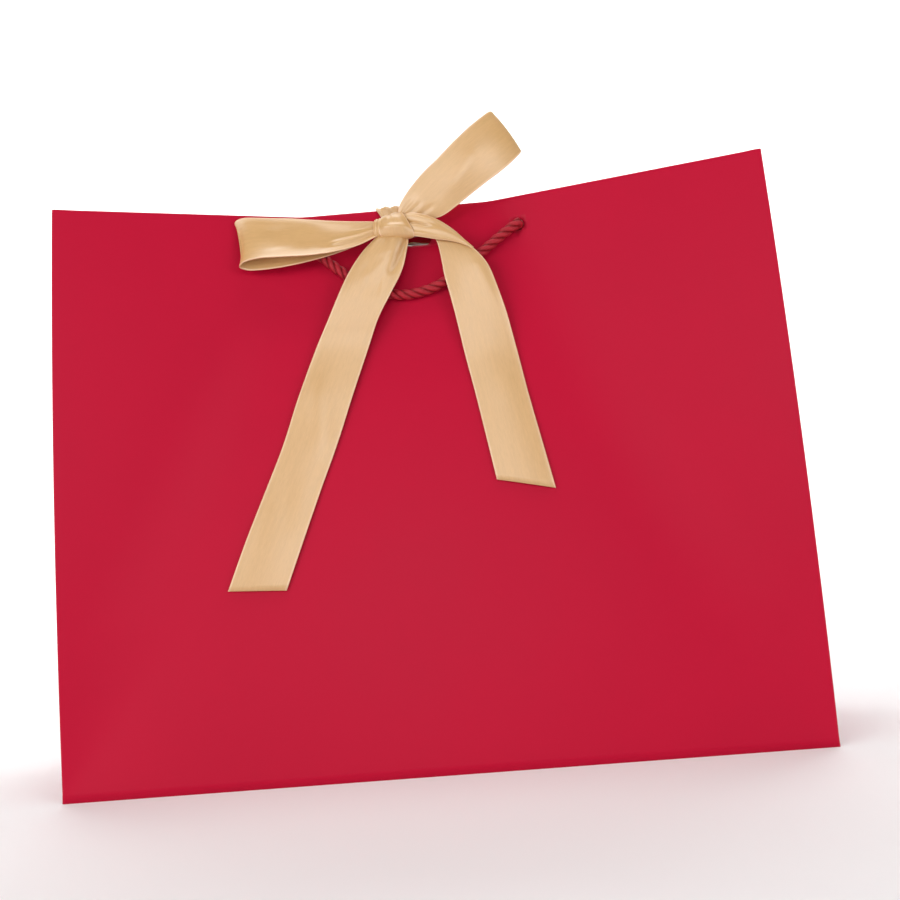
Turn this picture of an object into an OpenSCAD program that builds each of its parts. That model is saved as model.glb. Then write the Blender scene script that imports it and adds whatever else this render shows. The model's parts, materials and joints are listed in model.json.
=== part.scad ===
// Gift bag of laminated paper, tied shut with a satin ribbon bow.
// Origin: centre of the base. Front faces -Y, +Z is up. Millimetres.

/* [Bag] */
// Width of the bag at its base
bag_w = 340; // [320:5:360]
// Length of the paper from the base to the top edge
bag_h = 270; // [260:5:280]
// Depth of the base, front to back
bag_d = 100; // [90:5:110]
// Thickness of the printed paper
paper_t = 0.35; // [0.3:0.05:0.4]
// Thickness of the card that stiffens the top edge
board_t = 0.8; // [0.6:0.1:1]
// Thickness of the loose card in the base
base_board_t = 1.2; // [0.8:0.1:1.5]
// Height of the turned-in top edge
hem_h = 38; // [34:1:44]

/* [Tied top] */
// Half the gap between the two outer faces where the ribbon ties them
tie_half = 5.5; // [5:0.5:7]
// Half depth of the mouth at its side corners
mouth_half = 39; // [34:1:42]
// How far the tie stands off the middle, to the right
tie_x = -7; // [-10:1:0]
// Half the straight stretch of the top edge at the tie
flat_half = 46.5; // [42:0.5:50]
// Half width of the soft bend beside the tie, at mid height
bend_soft = 26; // [10:1:40]
// Half width of the same bend at the stiffened top
bend_top = 4; // [3:1:8]
// How far the side edges bow outwards at mid height
edge_bow = 1.6; // [0:0.2:3]

/* [Rope handles] */
// Diameter of the twisted rope
rope_d = 5.2; // [5:0.1:5.4]
// Distance between the two rope holes
hole_gap = 106; // [104:1:108]
// Diameter of a rope hole
hole_d = 6; // [5.8:0.1:6.4]
// Drop of the rope holes below the top edge
hole_drop = 14.3; // [13:0.1:15]
// Diameter of the knot inside that stops the rope
rope_knot_d = 9.6; // [9:0.1:10]

/* [Ribbon] */
// Width of the ribbon
ribbon_w = 25; // [24:0.5:26]
// Thickness of the ribbon
ribbon_t = 0.5; // [0.4:0.1:0.6]
// Length of the ribbon slot
slot_l = 20; // [18:1:24]
// Height of the ribbon slot
slot_h = 5; // [4:0.5:6]
// Drop of the slot's middle below the top edge
slot_drop = 17.8; // [17:0.1:19]

/* [Hidden] */
gap = 0.08;
half_w = bag_w / 2;
half_d = bag_d / 2;
mid_z = sqrt(bag_h * bag_h - pow(half_d - tie_half, 2));
corner_z = sqrt(bag_h * bag_h - pow(half_d - mouth_half, 2));
paper_colour = [0.78, 0.1, 0.2];
inner_colour = [0.95, 0.94, 0.92];
card_colour = [0.72, 0.62, 0.5];
rope_colour = [0.6, 0.06, 0.12];
ribbon_colour = [0.88, 0.75, 0.58];

// Rows of a panel, as fractions of its height, and the first row above the flat foot.
rows = [0, 0.08, 0.2, 0.35, 0.5, 0.65, 0.78, 0.9, 1];
foot_row = 0.08;
// Corner creases end at these points of the top edge.
left_bend = [tie_x - flat_half, -tie_half, mid_z];
right_bend = [tie_x + flat_half, -tie_half, mid_z];
left_corner = [-corner_x(half_w + tie_x - flat_half, -left_bend.x), -mouth_half, corner_z];
right_corner = [corner_x(half_w - tie_x - flat_half, right_bend.x), -mouth_half, corner_z];
// Rope, ribbon and knot places.
hole_z = mid_z - hole_drop;
slot_z = mid_z - slot_drop;
rope_axis_y = -12.6;
knot_y = -14.2;
knot_drop = 11.6;
knot_z = mid_z - knot_drop;
knot_r = 7.6;

function mix(a, b, t) = a + (b - a) * t;
function unit(v) = v / norm(v);
function soft_ramp(s, w) = s < -w ? 0 : s > w ? s : pow(s + w, 2) / (4 * w);
// Distance of a top corner from the middle plane, so that the wing keeps its flat length.
function corner_x(wing, bend) =
    bend + sqrt(wing * wing - pow(mouth_half - tie_half, 2) - pow(corner_z - mid_z, 2));

// Side edge of the front panel at height fraction t, on side s (-1 left, 1 right).
function side_edge(t, s) =
    mix([s * half_w, -half_d, 0], s < 0 ? left_corner : right_corner, t)
    + [s * edge_bow * 4 * t * (1 - t), 0, 0];
function bend_line(t, s) = mix([s * half_w, -half_d, 0], s < 0 ? left_bend : right_bend, t);
// Distance across the flat paper from the middle to the bend, signed.
function bend_u(t, s) = mix(s * half_w, s < 0 ? left_bend.x : right_bend.x, t);
function wing_len(t, s) = half_w - s * bend_u(t, s);
function bend_w(t, s) = min(mix(bend_soft, bend_top, pow(t, 3)), 0.8 * wing_len(t, s));

// Point of the front panel's outer face: u across the flat paper, t up it, off inwards.
function panel_point(u, t, off) =
    t < foot_row ? [u, -half_d + off, 0] :
    let (
        cl = bend_line(t, -1), cr = bend_line(t, 1),
        ul = bend_u(t, -1), ur = bend_u(t, 1),
        middle = (cr - cl) / (ur - ul),
        left = (cl - side_edge(t, -1)) / wing_len(t, -1),
        right = (side_edge(t, 1) - cr) / wing_len(t, 1)
    )
    cl + (u - ul) * middle
    + soft_ramp(ul - u, bend_w(t, -1)) * (middle - left)
    + soft_ramp(u - ur, bend_w(t, 1)) * (right - middle)
    + [0, off, 0];

// Columns of the panel's grid: they follow the two bends up the panel.
bend_steps = [-1, -0.5, 0, 0.5, 1];
function panel_columns(t) =
    let (te = max(t, foot_row), ul = bend_u(te, -1), ur = bend_u(te, 1),
         wl = bend_w(te, -1), wr = bend_w(te, 1))
    concat(
        [-half_w, mix(-half_w, ul - wl, 0.5)],
        [for (k = bend_steps) ul + k * wl],
        [mix(ul + wl, ur - wr, 0.5)],
        [for (k = bend_steps) ur + k * wr],
        [mix(ur + wr, half_w, 0.5), half_w]
    );

// A closed sheet between two grids of points with the same rows and columns.
module grid_sheet(near, far) {
    nr = len(near);
    nc = len(near[0]);
    pts = concat([for (r = near) each r], [for (r = far) each r]);
    n = nr * nc;
    function id(r, c, side) = side * n + r * nc + c;
    faces = concat(
        [for (r = [0:nr - 2], c = [0:nc - 2]) each [
            [id(r, c, 0), id(r + 1, c, 0), id(r + 1, c + 1, 0)],
            [id(r, c, 0), id(r + 1, c + 1, 0), id(r, c + 1, 0)],
            [id(r, c, 1), id(r + 1, c + 1, 1), id(r + 1, c, 1)],
            [id(r, c, 1), id(r, c + 1, 1), id(r + 1, c + 1, 1)]]],
        [for (c = [0:nc - 2]) each [
            [id(0, c, 0), id(0, c + 1, 0), id(0, c + 1, 1)],
            [id(0, c, 0), id(0, c + 1, 1), id(0, c, 1)],
            [id(nr - 1, c, 0), id(nr - 1, c + 1, 1), id(nr - 1, c + 1, 0)],
            [id(nr - 1, c, 0), id(nr - 1, c, 1), id(nr - 1, c + 1, 1)]]],
        [for (r = [0:nr - 2]) each [
            [id(r, 0, 0), id(r + 1, 0, 1), id(r + 1, 0, 0)],
            [id(r, 0, 0), id(r, 0, 1), id(r + 1, 0, 1)],
            [id(r, nc - 1, 0), id(r + 1, nc - 1, 0), id(r + 1, nc - 1, 1)],
            [id(r, nc - 1, 0), id(r + 1, nc - 1, 1), id(r, nc - 1, 1)]]]
    );
    polyhedron(points = pts, faces = faces);
}

// A layer of the front panel between two depths behind its outer face.
module panel_layer(row_list, inset, from, to) {
    cut = [for (t = row_list) [for (u = panel_columns(t)) min(max(u, inset - half_w), half_w - inset)]];
    grid_sheet(
        [for (i = [0:len(row_list) - 1]) [for (u = cut[i]) panel_point(u, row_list[i], from)]],
        [for (i = [0:len(row_list) - 1]) [for (u = cut[i]) panel_point(u, row_list[i], to)]]
    );
}

// The rope holes and the ribbon slot, as one cutter through the front layers.
module panel_cuts() {
    for (s = [-1, 1])
        translate([s * hole_gap / 2, 0, hole_z]) rotate([90, 0, 0])
            cylinder(d = hole_d, h = half_d, $fn = 32);
    for (s = [-1, 1])
        translate([s * (slot_l - slot_h) / 2, 0, slot_z]) rotate([90, 0, 0])
            cylinder(d = slot_h, h = half_d, $fn = 32);
    translate([-(slot_l - slot_h) / 2, -half_d, slot_z - slot_h / 2])
        cube([slot_l - slot_h, half_d, slot_h]);
}

module cut_layer(row_list, inset, from, to) {
    difference() {
        panel_layer(row_list, inset, from, to);
        panel_cuts();
    }
}

module to_back() {
    mirror([0, 1, 0]) children();
}

module to_left() {
    mirror([1, 0, 0]) children();
}

// Rows of the turned-in layers, as fractions of the paper's height.
hem_rows = [1 - hem_h / bag_h, 0.93, 0.998];
board_short = 2;
board_rows = [1 - (hem_h - board_short) / bag_h, 0.93, 0.995];
board_from = paper_t + gap;
hem_from = board_from + board_t + gap;
// How far the board stops short of the corners; the hem runs a little further.
board_inset = 10;
hem_inset = 8;

module front_panel() {
    color(paper_colour) cut_layer(rows, 0, 0, paper_t);
}

module back_panel() {
    color(paper_colour) to_back() cut_layer(rows, 0, 0, paper_t);
}

module front_top_board() {
    color(card_colour) cut_layer(board_rows, board_inset, board_from, board_from + board_t);
}

module back_top_board() {
    color(card_colour) to_back() cut_layer(board_rows, board_inset, board_from, board_from + board_t);
}

module front_hem() {
    color(paper_colour) cut_layer(hem_rows, hem_inset, hem_from, hem_from + paper_t);
}

module back_hem() {
    color(paper_colour) to_back() cut_layer(hem_rows, hem_inset, hem_from, hem_from + paper_t);
}

// ---- Gussets: the side walls, folded inwards along a middle crease ----
gusset_start = 1.1;
// Drop of the middle crease's top below the corners.
crease_drop = 2;
foot_apex_lean = 17.5;
foot_apex = [half_w - half_d * sin(foot_apex_lean), 0, half_d * cos(foot_apex_lean)];
gusset_rows = [0, 0.1, 0.25, 0.45, 0.7, 1 - hem_h / bag_h, 1];
gusset_across = [0, 0.33, 0.67, 1];

// Middle crease of the right gusset, by fraction of its length above the foot.
function crease_point(f) =
    let (
        top_edge = side_edge(1, 1),
        top = [top_edge.x - sqrt(half_d * half_d - mouth_half * mouth_half), 0, corner_z - crease_drop]
    )
    mix(foot_apex, top, f);
// Outer edge of the folded half: from the base corner up to the top corner.
function gusset_edge(f) =
    let (e = side_edge(f, 1)) [e.x - paper_t, e.y, e.z];
function gusset_point(f, across, off) =
    let (
        a = gusset_edge(f),
        b = crease_point(f),
        along = unit(b - a),
        normal = unit(cross(along, [0, 0, 1]))
    )
    mix(a + along * gusset_start, b - along * gap * 4, across) + normal * off;

module gusset_half(row_list, from, to) {
    grid_sheet(
        [for (f = row_list) [for (k = gusset_across) gusset_point(f, k, from)]],
        [for (f = row_list) [for (k = gusset_across) gusset_point(f, k, to)]]
    );
}

// The flat triangle at the foot of a gusset, leaning inwards about the base edge.
module gusset_foot() {
    inset = 1.6;
    tip_share = 0.965;
    lean = [-cos(foot_apex_lean), 0, -sin(foot_apex_lean)] * paper_t;
    a = [half_w - paper_t, -half_d + inset + gap, gap];
    b = [half_w - paper_t, half_d - inset - gap, gap];
    c = mix([half_w - paper_t, 0, 0], foot_apex, tip_share);
    polyhedron(
        points = [a, b, c, a - lean, b - lean, c - lean],
        faces = [[0, 1, 2], [5, 4, 3], [0, 3, 4], [0, 4, 1], [1, 4, 5], [1, 5, 2], [2, 5, 3], [2, 3, 0]]
    );
}

module right_gusset_front() {
    color(paper_colour) gusset_half(gusset_rows, 0, paper_t);
}

module right_gusset_back() {
    color(paper_colour) to_back() gusset_half(gusset_rows, 0, paper_t);
}

module right_gusset_foot() {
    color(paper_colour) gusset_foot();
}

module left_gusset_front() {
    color(paper_colour) to_left() gusset_half(gusset_rows, 0, paper_t);
}

module left_gusset_back() {
    color(paper_colour) to_left() to_back() gusset_half(gusset_rows, 0, paper_t);
}

module left_gusset_foot() {
    color(paper_colour) to_left() gusset_foot();
}

// ---- Turned-in hems of the gussets, and the flaps glued inside two corners ----
side_hem_start = 9;
side_hem_end = 1.5;
hem_off = 0.45;

module gusset_hem_half() {
    hem_ends = [1 - hem_h / bag_h, 0.997];
    function hem_point(f, across, off) =
        let (
            a = gusset_edge(f),
            b = crease_point(f),
            along = unit(b - a),
            normal = unit(cross(along, [0, 0, 1]))
        )
        mix(a + along * side_hem_start, b - along * side_hem_end, across) - normal * off;
    grid_sheet(
        [for (f = hem_ends) [for (k = gusset_across) hem_point(f, k, hem_off + paper_t)]],
        [for (f = hem_ends) [for (k = gusset_across) hem_point(f, k, hem_off)]]
    );
}

module right_hem() {
    color(paper_colour) {
        gusset_hem_half();
        to_back() gusset_hem_half();
    }
}

module left_hem() {
    color(paper_colour) to_left() {
        gusset_hem_half();
        to_back() gusset_hem_half();
    }
}

glue_flap_w = 16;
glue_inset = 3;
glue_rows = [0.2, 0.35, 0.5, 0.65, 0.78, 0.83];
glue_steps = 4;
// Below this height the panel's bend reaches the strip, which stands off more and more.
glue_bend_top = 0.35;
glue_lift = 4;

// Strip glued behind the front panel, beside the corner on side s.
module glue_strip(s) {
    edge = s * (half_w - glue_inset);
    low_u = min(edge, edge - s * glue_flap_w);
    columns = [for (k = [0:glue_steps]) low_u + glue_flap_w * k / glue_steps];
    function stand_off(t) = board_from + glue_lift * max(glue_bend_top - t, 0);
    grid_sheet(
        [for (t = glue_rows) [for (u = columns) panel_point(u, t, stand_off(t))]],
        [for (t = glue_rows) [for (u = columns) panel_point(u, t, stand_off(t) + paper_t)]]
    );
}

module right_glue_flap() {
    color(inner_colour) glue_strip(1);
}

module left_glue_flap() {
    color(inner_colour) to_back() glue_strip(-1);
}

// ---- Base: two side flaps inside, two long flaps over them, a loose card on top ----
flap_step = paper_t + gap;
flap_side_inset = 1;
flap_mitre = 20;
flap_overlap = 12;
// Side flaps: play at the side wall, play at the long walls, length short of half the depth, taper.
side_flap_play = 0.6;
side_flap_end = 1.6;
side_flap_short = 6;
side_flap_taper = 4;

module long_flap(layer) {
    x0 = half_w - flap_side_inset;
    y0 = -half_d + paper_t + gap;
    translate([0, 0, layer * flap_step])
        linear_extrude(paper_t)
            polygon([
                [-x0, y0], [x0, y0], [x0 - flap_mitre, y0 + flap_mitre], [x0 - flap_mitre, flap_overlap],
                [flap_mitre - x0, flap_overlap], [flap_mitre - x0, y0 + flap_mitre]
            ]);
}

module side_flap() {
    x0 = half_w - flap_side_inset - side_flap_play;
    y0 = half_d - side_flap_end;
    depth = half_d - side_flap_short;
    y1 = y0 - depth + side_flap_taper;
    translate([0, 0, 2 * flap_step])
        linear_extrude(paper_t)
            polygon([[x0, -y0], [x0, y0], [x0 - depth, y1], [x0 - depth, -y1]]);
}

module base_front_flap() {
    color(paper_colour) long_flap(0);
}

module base_back_flap() {
    color(paper_colour) to_back() long_flap(1);
}

module base_right_flap() {
    color(paper_colour) side_flap();
}

module base_left_flap() {
    color(paper_colour) to_left() side_flap();
}

// Loose card: play across and along the base, and corner radius.
base_play_w = 7;
base_play_d = 5;
base_board_r = 3;

module base_board() {
    w = bag_w - base_play_w;
    d = bag_d - base_play_d;
    r = base_board_r;
    color(card_colour) translate([0, 0, 3 * flap_step]) {
        difference() {
            translate([-w / 2, -d / 2, 0]) cube([w, d, base_board_t]);
            for (sx = [-1, 1], sy = [-1, 1])
                translate([sx * (w / 2 - r), sy * (d / 2 - r), -1])
                    difference() {
                        translate([sx < 0 ? -2 * r : 0, sy < 0 ? -2 * r : 0, 0])
                            cube([2 * r, 2 * r, base_board_t + 2]);
                        cylinder(r = r, h = base_board_t + 2, $fn = 32);
                    }
        }
    }
}

// ---- Rope handles: the loop outside, and an end with its knot behind each hole ----
// Route of the front rope from hole to hole: x, drop below the holes, distance out from the axis.
rope_route = [
    [53, 0, 0], [49, 2.5, -0.4], [44, 6, -0.9], [38, 10.5, -1.2], [31.5, 15.5, -1.7], [25, 20.5, -2.2],
    [18, 25, -2.7], [11, 28.5, -3.1], [3.5, 30.7, -3.4], [-4, 31.5, -3.5], [-11.5, 30.5, -3.4],
    [-19, 27.8, -3.1], [-26, 23.8, -2.7], [-32.5, 19, -2.2], [-38.5, 13.8, -1.6], [-44, 8.8, -1.1],
    [-49, 4.2, -0.6], [-53, 0, 0],
];
rope_sides = 8;

function rope_point(p) = [p.x * hole_gap / (2 * rope_route[0].x), rope_axis_y + p.z, hole_z - p.y];

// A round tube with a ring at each point of a path that lies close to an upright plane.
module tube(path, d) {
    n = len(path);
    function heading(i) = unit(path[min(i + 1, n - 1)] - path[max(i - 1, 0)]);
    function ring(i) =
        let (t = heading(i), u = unit(cross(t, [0, 1, 0])), v = cross(u, t))
        [for (k = [0:rope_sides - 1])
            path[i] + d / 2 * (cos(360 * k / rope_sides) * u + sin(360 * k / rope_sides) * v)];
    pts = [for (i = [0:n - 1]) each ring(i)];
    function id(i, k) = i * rope_sides + k % rope_sides;
    faces = concat(
        [[for (k = [0:rope_sides - 1]) k]],
        [[for (k = [rope_sides - 1:-1:0]) (n - 1) * rope_sides + k]],
        [for (i = [0:n - 2], k = [0:rope_sides - 1]) each [
            [id(i, k), id(i + 1, k), id(i + 1, k + 1)],
            [id(i, k), id(i + 1, k + 1), id(i, k + 1)]]]
    );
    polyhedron(points = pts, faces = faces);
}

module rope_loop() {
    tube([for (p = rope_route) rope_point(p)], rope_d);
}

module front_rope() {
    color(rope_colour) rope_loop();
}

module back_rope() {
    color(rope_colour) to_back() rope_loop();
}

rope_end_y = -4.1;
front_knot_drop = 15;
back_knot_drop = 32;
rope_fray = 6;

// Rope end inside: through the hole, down, and into a stopper knot with a short frayed end.
module rope_end(s, drop, face_y) {
    translate([s * hole_gap / 2, 0, hole_z]) {
        translate([0, rope_end_y, 0]) rotate([90, 0, 0])
            cylinder(d = rope_d, h = rope_end_y - face_y, $fn = 32);
        translate([0, rope_end_y, 0]) sphere(d = rope_d, $fn = 32);
        translate([0, rope_end_y, -drop - rope_knot_d / 2 - rope_fray])
            cylinder(d = rope_d, h = drop + rope_knot_d / 2 + rope_fray, $fn = 32);
        translate([0, rope_end_y, -drop]) sphere(d = rope_knot_d, $fn = 32);
    }
}

left_face_y = -9.2;
right_face_y = -9.6;

module front_rope_left_end() {
    color(rope_colour) rope_end(-1, front_knot_drop, left_face_y);
}

module front_rope_right_end() {
    color(rope_colour) rope_end(1, front_knot_drop, right_face_y);
}

module back_rope_left_end() {
    color(rope_colour) to_back() rope_end(-1, back_knot_drop, left_face_y);
}

module back_rope_right_end() {
    color(rope_colour) to_back() rope_end(1, back_knot_drop, right_face_y);
}

// ---- Ribbon: a band through both slots and over the top, a knot, two loops, two tails ----
band_w = 15;
band_x = -9.5;
band_t = 0.8;
// The band stands off the panels at the slots and at the top edge, and enters above the slot's middle.
band_slack = 0.7;
band_top_slack = 0.3;
band_rise = 1;
band_taper = 0.1;

function face_y(z) = -half_d + (half_d - tie_half) * z / mid_z;

module tie_band() {
    low = slot_z + band_rise;
    high = mid_z + band_top_slack;
    y_low = face_y(slot_z) - band_slack;
    y_high = -tie_half - band_top_slack;
    color(ribbon_colour) translate([band_x, 0, 0]) rotate([90, 0, 90]) linear_extrude(band_w)
        difference() {
            polygon([
                [y_low - band_t - band_taper, low - band_t], [-y_low + band_t + band_taper, low - band_t],
                [-y_high + band_t, high + band_t], [y_high - band_t, high + band_t]
            ]);
            polygon([[y_low, low], [-y_low, low], [-y_high, high], [y_high, high]]);
        }
}

knot_half = 9;
knot_end_r = 5.6;

// The knot: a short barrel across the bag, cut away behind where it meets the band.
module bow_knot() {
    steps = 8;
    back_y = 4.2;
    back_lean = 10.6;
    color(ribbon_colour) translate([tie_x, knot_y, knot_z])
        difference() {
            rotate([0, 90, 0]) rotate_extrude($fn = 48)
                polygon(concat(
                    [[0, -knot_half]],
                    [for (i = [0:steps])
                        let (a = -90 + 180 * i / steps)
                        [knot_end_r + (knot_r - knot_end_r) * cos(a), knot_half * sin(a)]],
                    [[0, knot_half]]
                ));
            translate([0, back_y, 0]) rotate([-back_lean, 0, 0]) translate([-knot_half - 1, 0, -2 * knot_r])
                cube([2 * knot_half + 2, 2 * knot_r, 4 * knot_r]);
        }
}

// The stations below are laid out for a ribbon of this width; another width spreads them about their middle.
laid_w = 25;

// A flat ribbon through stations [left x, left drop, right x, right drop, y]; drops are below the top edge.
module ribbon_strip(stations) {
    n = len(stations);
    share = (1 + ribbon_w / laid_w) / 2;
    laid_left = [for (s = stations) [s[0], s[4], mid_z - s[1]]];
    laid_right = [for (s = stations) [s[2], s[4], mid_z - s[3]]];
    left = [for (i = [0:n - 1]) mix(laid_right[i], laid_left[i], share)];
    right = [for (i = [0:n - 1]) mix(laid_left[i], laid_right[i], share)];
    function heading(i) =
        (left[min(i + 1, n - 1)] - left[max(i - 1, 0)]) + (right[min(i + 1, n - 1)] - right[max(i - 1, 0)]);
    function side(i) = unit(cross(right[i] - left[i], heading(i))) * ribbon_t / 2;
    grid_sheet(
        [for (i = [0:n - 1]) [left[i] + side(i), right[i] + side(i)]],
        [for (i = [0:n - 1]) [left[i] - side(i), right[i] - side(i)]]
    );
}

// Distance in front of the panel's middle, for stations that lie against it.
function lying(drop, lift) = face_y(mid_z - drop) - lift;

left_tail_stations = [
    [-20, 20, -1.5, 21.5, -15.8], [-26.5, 29, -4.5, 34, -18.6], [-36, 44, -12.5, 48, -20.1],
    [-49.3, 70.5, -24.5, 73, -21], [-59, 94, -33, 96.5, lying(95, 1.8)],
    [-70, 122.5, -44, 124, lying(123, 1.1)],
    [-82.5, 151, -56, 153, lying(152, 1)], [-94.3, 180, -67.4, 181.7, lying(181, 1)],
];
right_neck_stations = [
    [2.6, 6.8, 2.6, 18, -18], [11, 9.5, 10, 20, -18.8], [20.5, 16.3, 14.5, 21, -19],
];
right_tail_stations = [
    [14.2, 23.6, 27.5, 22.6, -18.9], [15, 34, 34.5, 32, -19.3], [17, 47.5, 40.2, 46, -19.7],
    [20.3, 69, 45.7, 68, -20.6], [24.8, 92, 49.2, 90, lying(91, 1.5)], [28.3, 116, 53.6, 113, lying(114, 1)],
    [32.1, 139, 58.9, 144.8, lying(142, 1)],
];
left_loop_stations = [
    [-16.6, 8.6, -16.6, 17.2, -18], [-27, 7.9, -27, 21.6, -19.8], [-45, 6, -45, 25, -22.8],
    [-62, 4.2, -62, 25, -25.2], [-76, 2.7, -76, 24.9, -26], [-81.5, 2.4, -80.5, 26.5, -24.4],
    [-83.2, 2.8, -82, 27.6, -21.8], [-80, 3.6, -79, 28.5, -19.4], [-65, 4.2, -65, 28.1, -18.4],
    [-45, 6.3, -45, 25.6, -18], [-30, 8.3, -30, 21.5, -16.9], [-16.6, 9.6, -16.6, 16.2, -14.8],
];
right_loop_stations = [
    [-1.2, 0.8, 6.2, 6.2, -14.6], [3.9, -7.2, 16, 7.9, -16], [13, -15.5, 29, 1.9, -19.3],
    [24.2, -25, 39.3, -4.2, -22.2], [35, -33, 50, -10.9, -23.2], [41.5, -38.2, 55.7, -15.8, -21.6],
    [43.2, -39.1, 57, -18, -19.4], [36, -33.5, 51.5, -11, -16.6], [24.2, -24, 39.5, -3.5, -15],
    [13, -14.3, 28, 2.6, -14], [4.3, -6.9, 15.5, 7.4, -13], [-1.2, 1.2, 6.2, 5.9, -11.6],
];

module left_tail() {
    color(ribbon_colour) ribbon_strip(left_tail_stations);
}

module right_tail_neck() {
    color(ribbon_colour) ribbon_strip(right_neck_stations);
}

module right_tail() {
    color(ribbon_colour) ribbon_strip(right_tail_stations);
}

module left_loop() {
    color(ribbon_colour) ribbon_strip(left_loop_stations);
}

module right_loop() {
    color(ribbon_colour) ribbon_strip(right_loop_stations);
}

front_panel();
back_panel();
left_gusset_front();
left_gusset_back();
left_gusset_foot();
right_gusset_front();
right_gusset_back();
right_gusset_foot();
base_front_flap();
base_back_flap();
base_left_flap();
base_right_flap();
base_board();
front_hem();
back_hem();
left_hem();
right_hem();
front_top_board();
back_top_board();
left_glue_flap();
right_glue_flap();
front_rope();
back_rope();
front_rope_left_end();
front_rope_right_end();
back_rope_left_end();
back_rope_right_end();
tie_band();
bow_knot();
left_loop();
right_loop();
left_tail();
right_tail_neck();
right_tail();
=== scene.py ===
"""Looks of a laminated paper gift bag, tied shut with a satin ribbon bow.

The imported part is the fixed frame: its origin is the centre of the base, the front faces -Y and +Z is up.
Sizes below are in millimetres, as a bag maker gives them, and every mesh is built in metres.
"""
import json
import logging
import math
from dataclasses import dataclass, field
from enum import Enum

import bpy
import numpy as np
from mathutils import Matrix, Vector
from mathutils.geometry import delaunay_2d_cdt


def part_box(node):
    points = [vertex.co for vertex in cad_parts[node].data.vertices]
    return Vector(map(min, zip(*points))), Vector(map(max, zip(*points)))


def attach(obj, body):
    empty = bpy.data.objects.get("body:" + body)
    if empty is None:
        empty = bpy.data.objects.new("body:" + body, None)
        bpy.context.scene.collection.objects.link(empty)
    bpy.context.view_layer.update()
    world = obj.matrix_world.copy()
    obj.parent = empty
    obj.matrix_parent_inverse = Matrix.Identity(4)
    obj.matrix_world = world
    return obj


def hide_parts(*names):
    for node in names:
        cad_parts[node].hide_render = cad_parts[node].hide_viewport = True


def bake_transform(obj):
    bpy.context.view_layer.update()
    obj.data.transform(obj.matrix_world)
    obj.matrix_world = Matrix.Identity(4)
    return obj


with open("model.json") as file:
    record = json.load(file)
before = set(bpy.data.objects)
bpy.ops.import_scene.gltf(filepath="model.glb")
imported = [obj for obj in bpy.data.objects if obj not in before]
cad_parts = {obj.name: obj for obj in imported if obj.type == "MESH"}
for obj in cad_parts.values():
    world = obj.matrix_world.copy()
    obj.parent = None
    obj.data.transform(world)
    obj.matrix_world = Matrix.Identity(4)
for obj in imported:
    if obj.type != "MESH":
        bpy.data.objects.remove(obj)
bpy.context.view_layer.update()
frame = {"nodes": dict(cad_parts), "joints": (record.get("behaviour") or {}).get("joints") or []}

log = logging.getLogger("gift_bag")
MM = 0.001
Point = tuple[float, float, float]


class Slot(str, Enum):
    """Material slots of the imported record."""

    RED_PAPER = "red_paper"
    ROPE = "rope"
    RIBBON = "ribbon"


class Side(int, Enum):
    """Front or back of the bag, as the sign of its Y."""

    FRONT = -1
    BACK = 1


# ---------------------------------------------------------------- small geometry


def smooth(x: np.ndarray | float) -> np.ndarray | float:
    """Smooth step from 0 to 1 over x from 0 to 1."""
    x = np.clip(x, 0.0, 1.0)
    return x * x * (3 - 2 * x)


def unit(v: np.ndarray) -> np.ndarray:
    """Vectors scaled to length 1."""
    return v / np.maximum(np.linalg.norm(v, axis=-1, keepdims=True), 1e-12)


def spline(knots: np.ndarray, steps: int) -> np.ndarray:
    """Centripetal-like smooth curve through rows of values.

    Args:
        knots: One row per station, any number of columns.
        steps: Samples between two stations.

    Returns:
        Rows of values along the curve, both ends included.
    """
    padded = np.vstack([2 * knots[0] - knots[1], knots, 2 * knots[-1] - knots[-2]])
    rows = []
    for i in range(1, len(padded) - 2):
        p0, p1, p2, p3 = padded[i - 1 : i + 3]
        for t in np.linspace(0, 1, steps, endpoint=False):
            rows.append(
                0.5 * (2 * p1 + (p2 - p0) * t + (2 * p0 - 5 * p1 + 4 * p2 - p3) * t**2
                       + (3 * p1 - p0 - 3 * p2 + p3) * t**3)
            )
    rows.append(knots[-1])
    return np.array(rows)


def evenly(path: np.ndarray, step: float) -> np.ndarray:
    """A path resampled at an even step along its length.

    Args:
        path: Points of the path, one row each.
        step: Wanted distance between points.

    Returns:
        The new points.
    """
    lengths = np.concatenate([[0], np.cumsum(np.linalg.norm(np.diff(path, axis=0), axis=1))])
    places = np.linspace(0, lengths[-1], max(2, int(round(lengths[-1] / step)) + 1))
    return np.column_stack([np.interp(places, lengths, path[:, k]) for k in range(3)])


def path_length(path: np.ndarray) -> float:
    """Length of a path."""
    return float(np.linalg.norm(np.diff(path, axis=0), axis=1).sum())


def vertex_normals(points: np.ndarray, faces: list[tuple[int, ...]]) -> np.ndarray:
    """Normals at the points of a surface, averaged over its faces by area.

    Args:
        points: Points of the surface.
        faces: Its faces, of three or four points.

    Returns:
        One unit normal per point.
    """
    normals = np.zeros_like(points)
    for size in (3, 4):
        ids = np.array([f for f in faces if len(f) == size], int)
        if not len(ids):
            continue
        p = points[ids]
        flat = np.cross(p[:, 2] - p[:, 0], p[:, -1] - p[:, 1])
        for k in range(size):
            np.add.at(normals, ids[:, k], flat)
    return unit(normals)


def make_object(name: str, points: np.ndarray, faces: list[tuple[int, ...]]) -> bpy.types.Object:
    """A smooth-shaded mesh object from points in millimetres.

    Args:
        name: Name of the piece.
        points: Its points.
        faces: Its faces.

    Returns:
        The object, linked to the scene.
    """
    mesh = bpy.data.meshes.new(name)
    mesh.from_pydata((points * MM).tolist(), [], faces)
    mesh.validate()
    mesh.polygons.foreach_set("use_smooth", [True] * len(mesh.polygons))
    obj = bpy.data.objects.new(name, mesh)
    bpy.context.scene.collection.objects.link(obj)
    return obj


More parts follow.
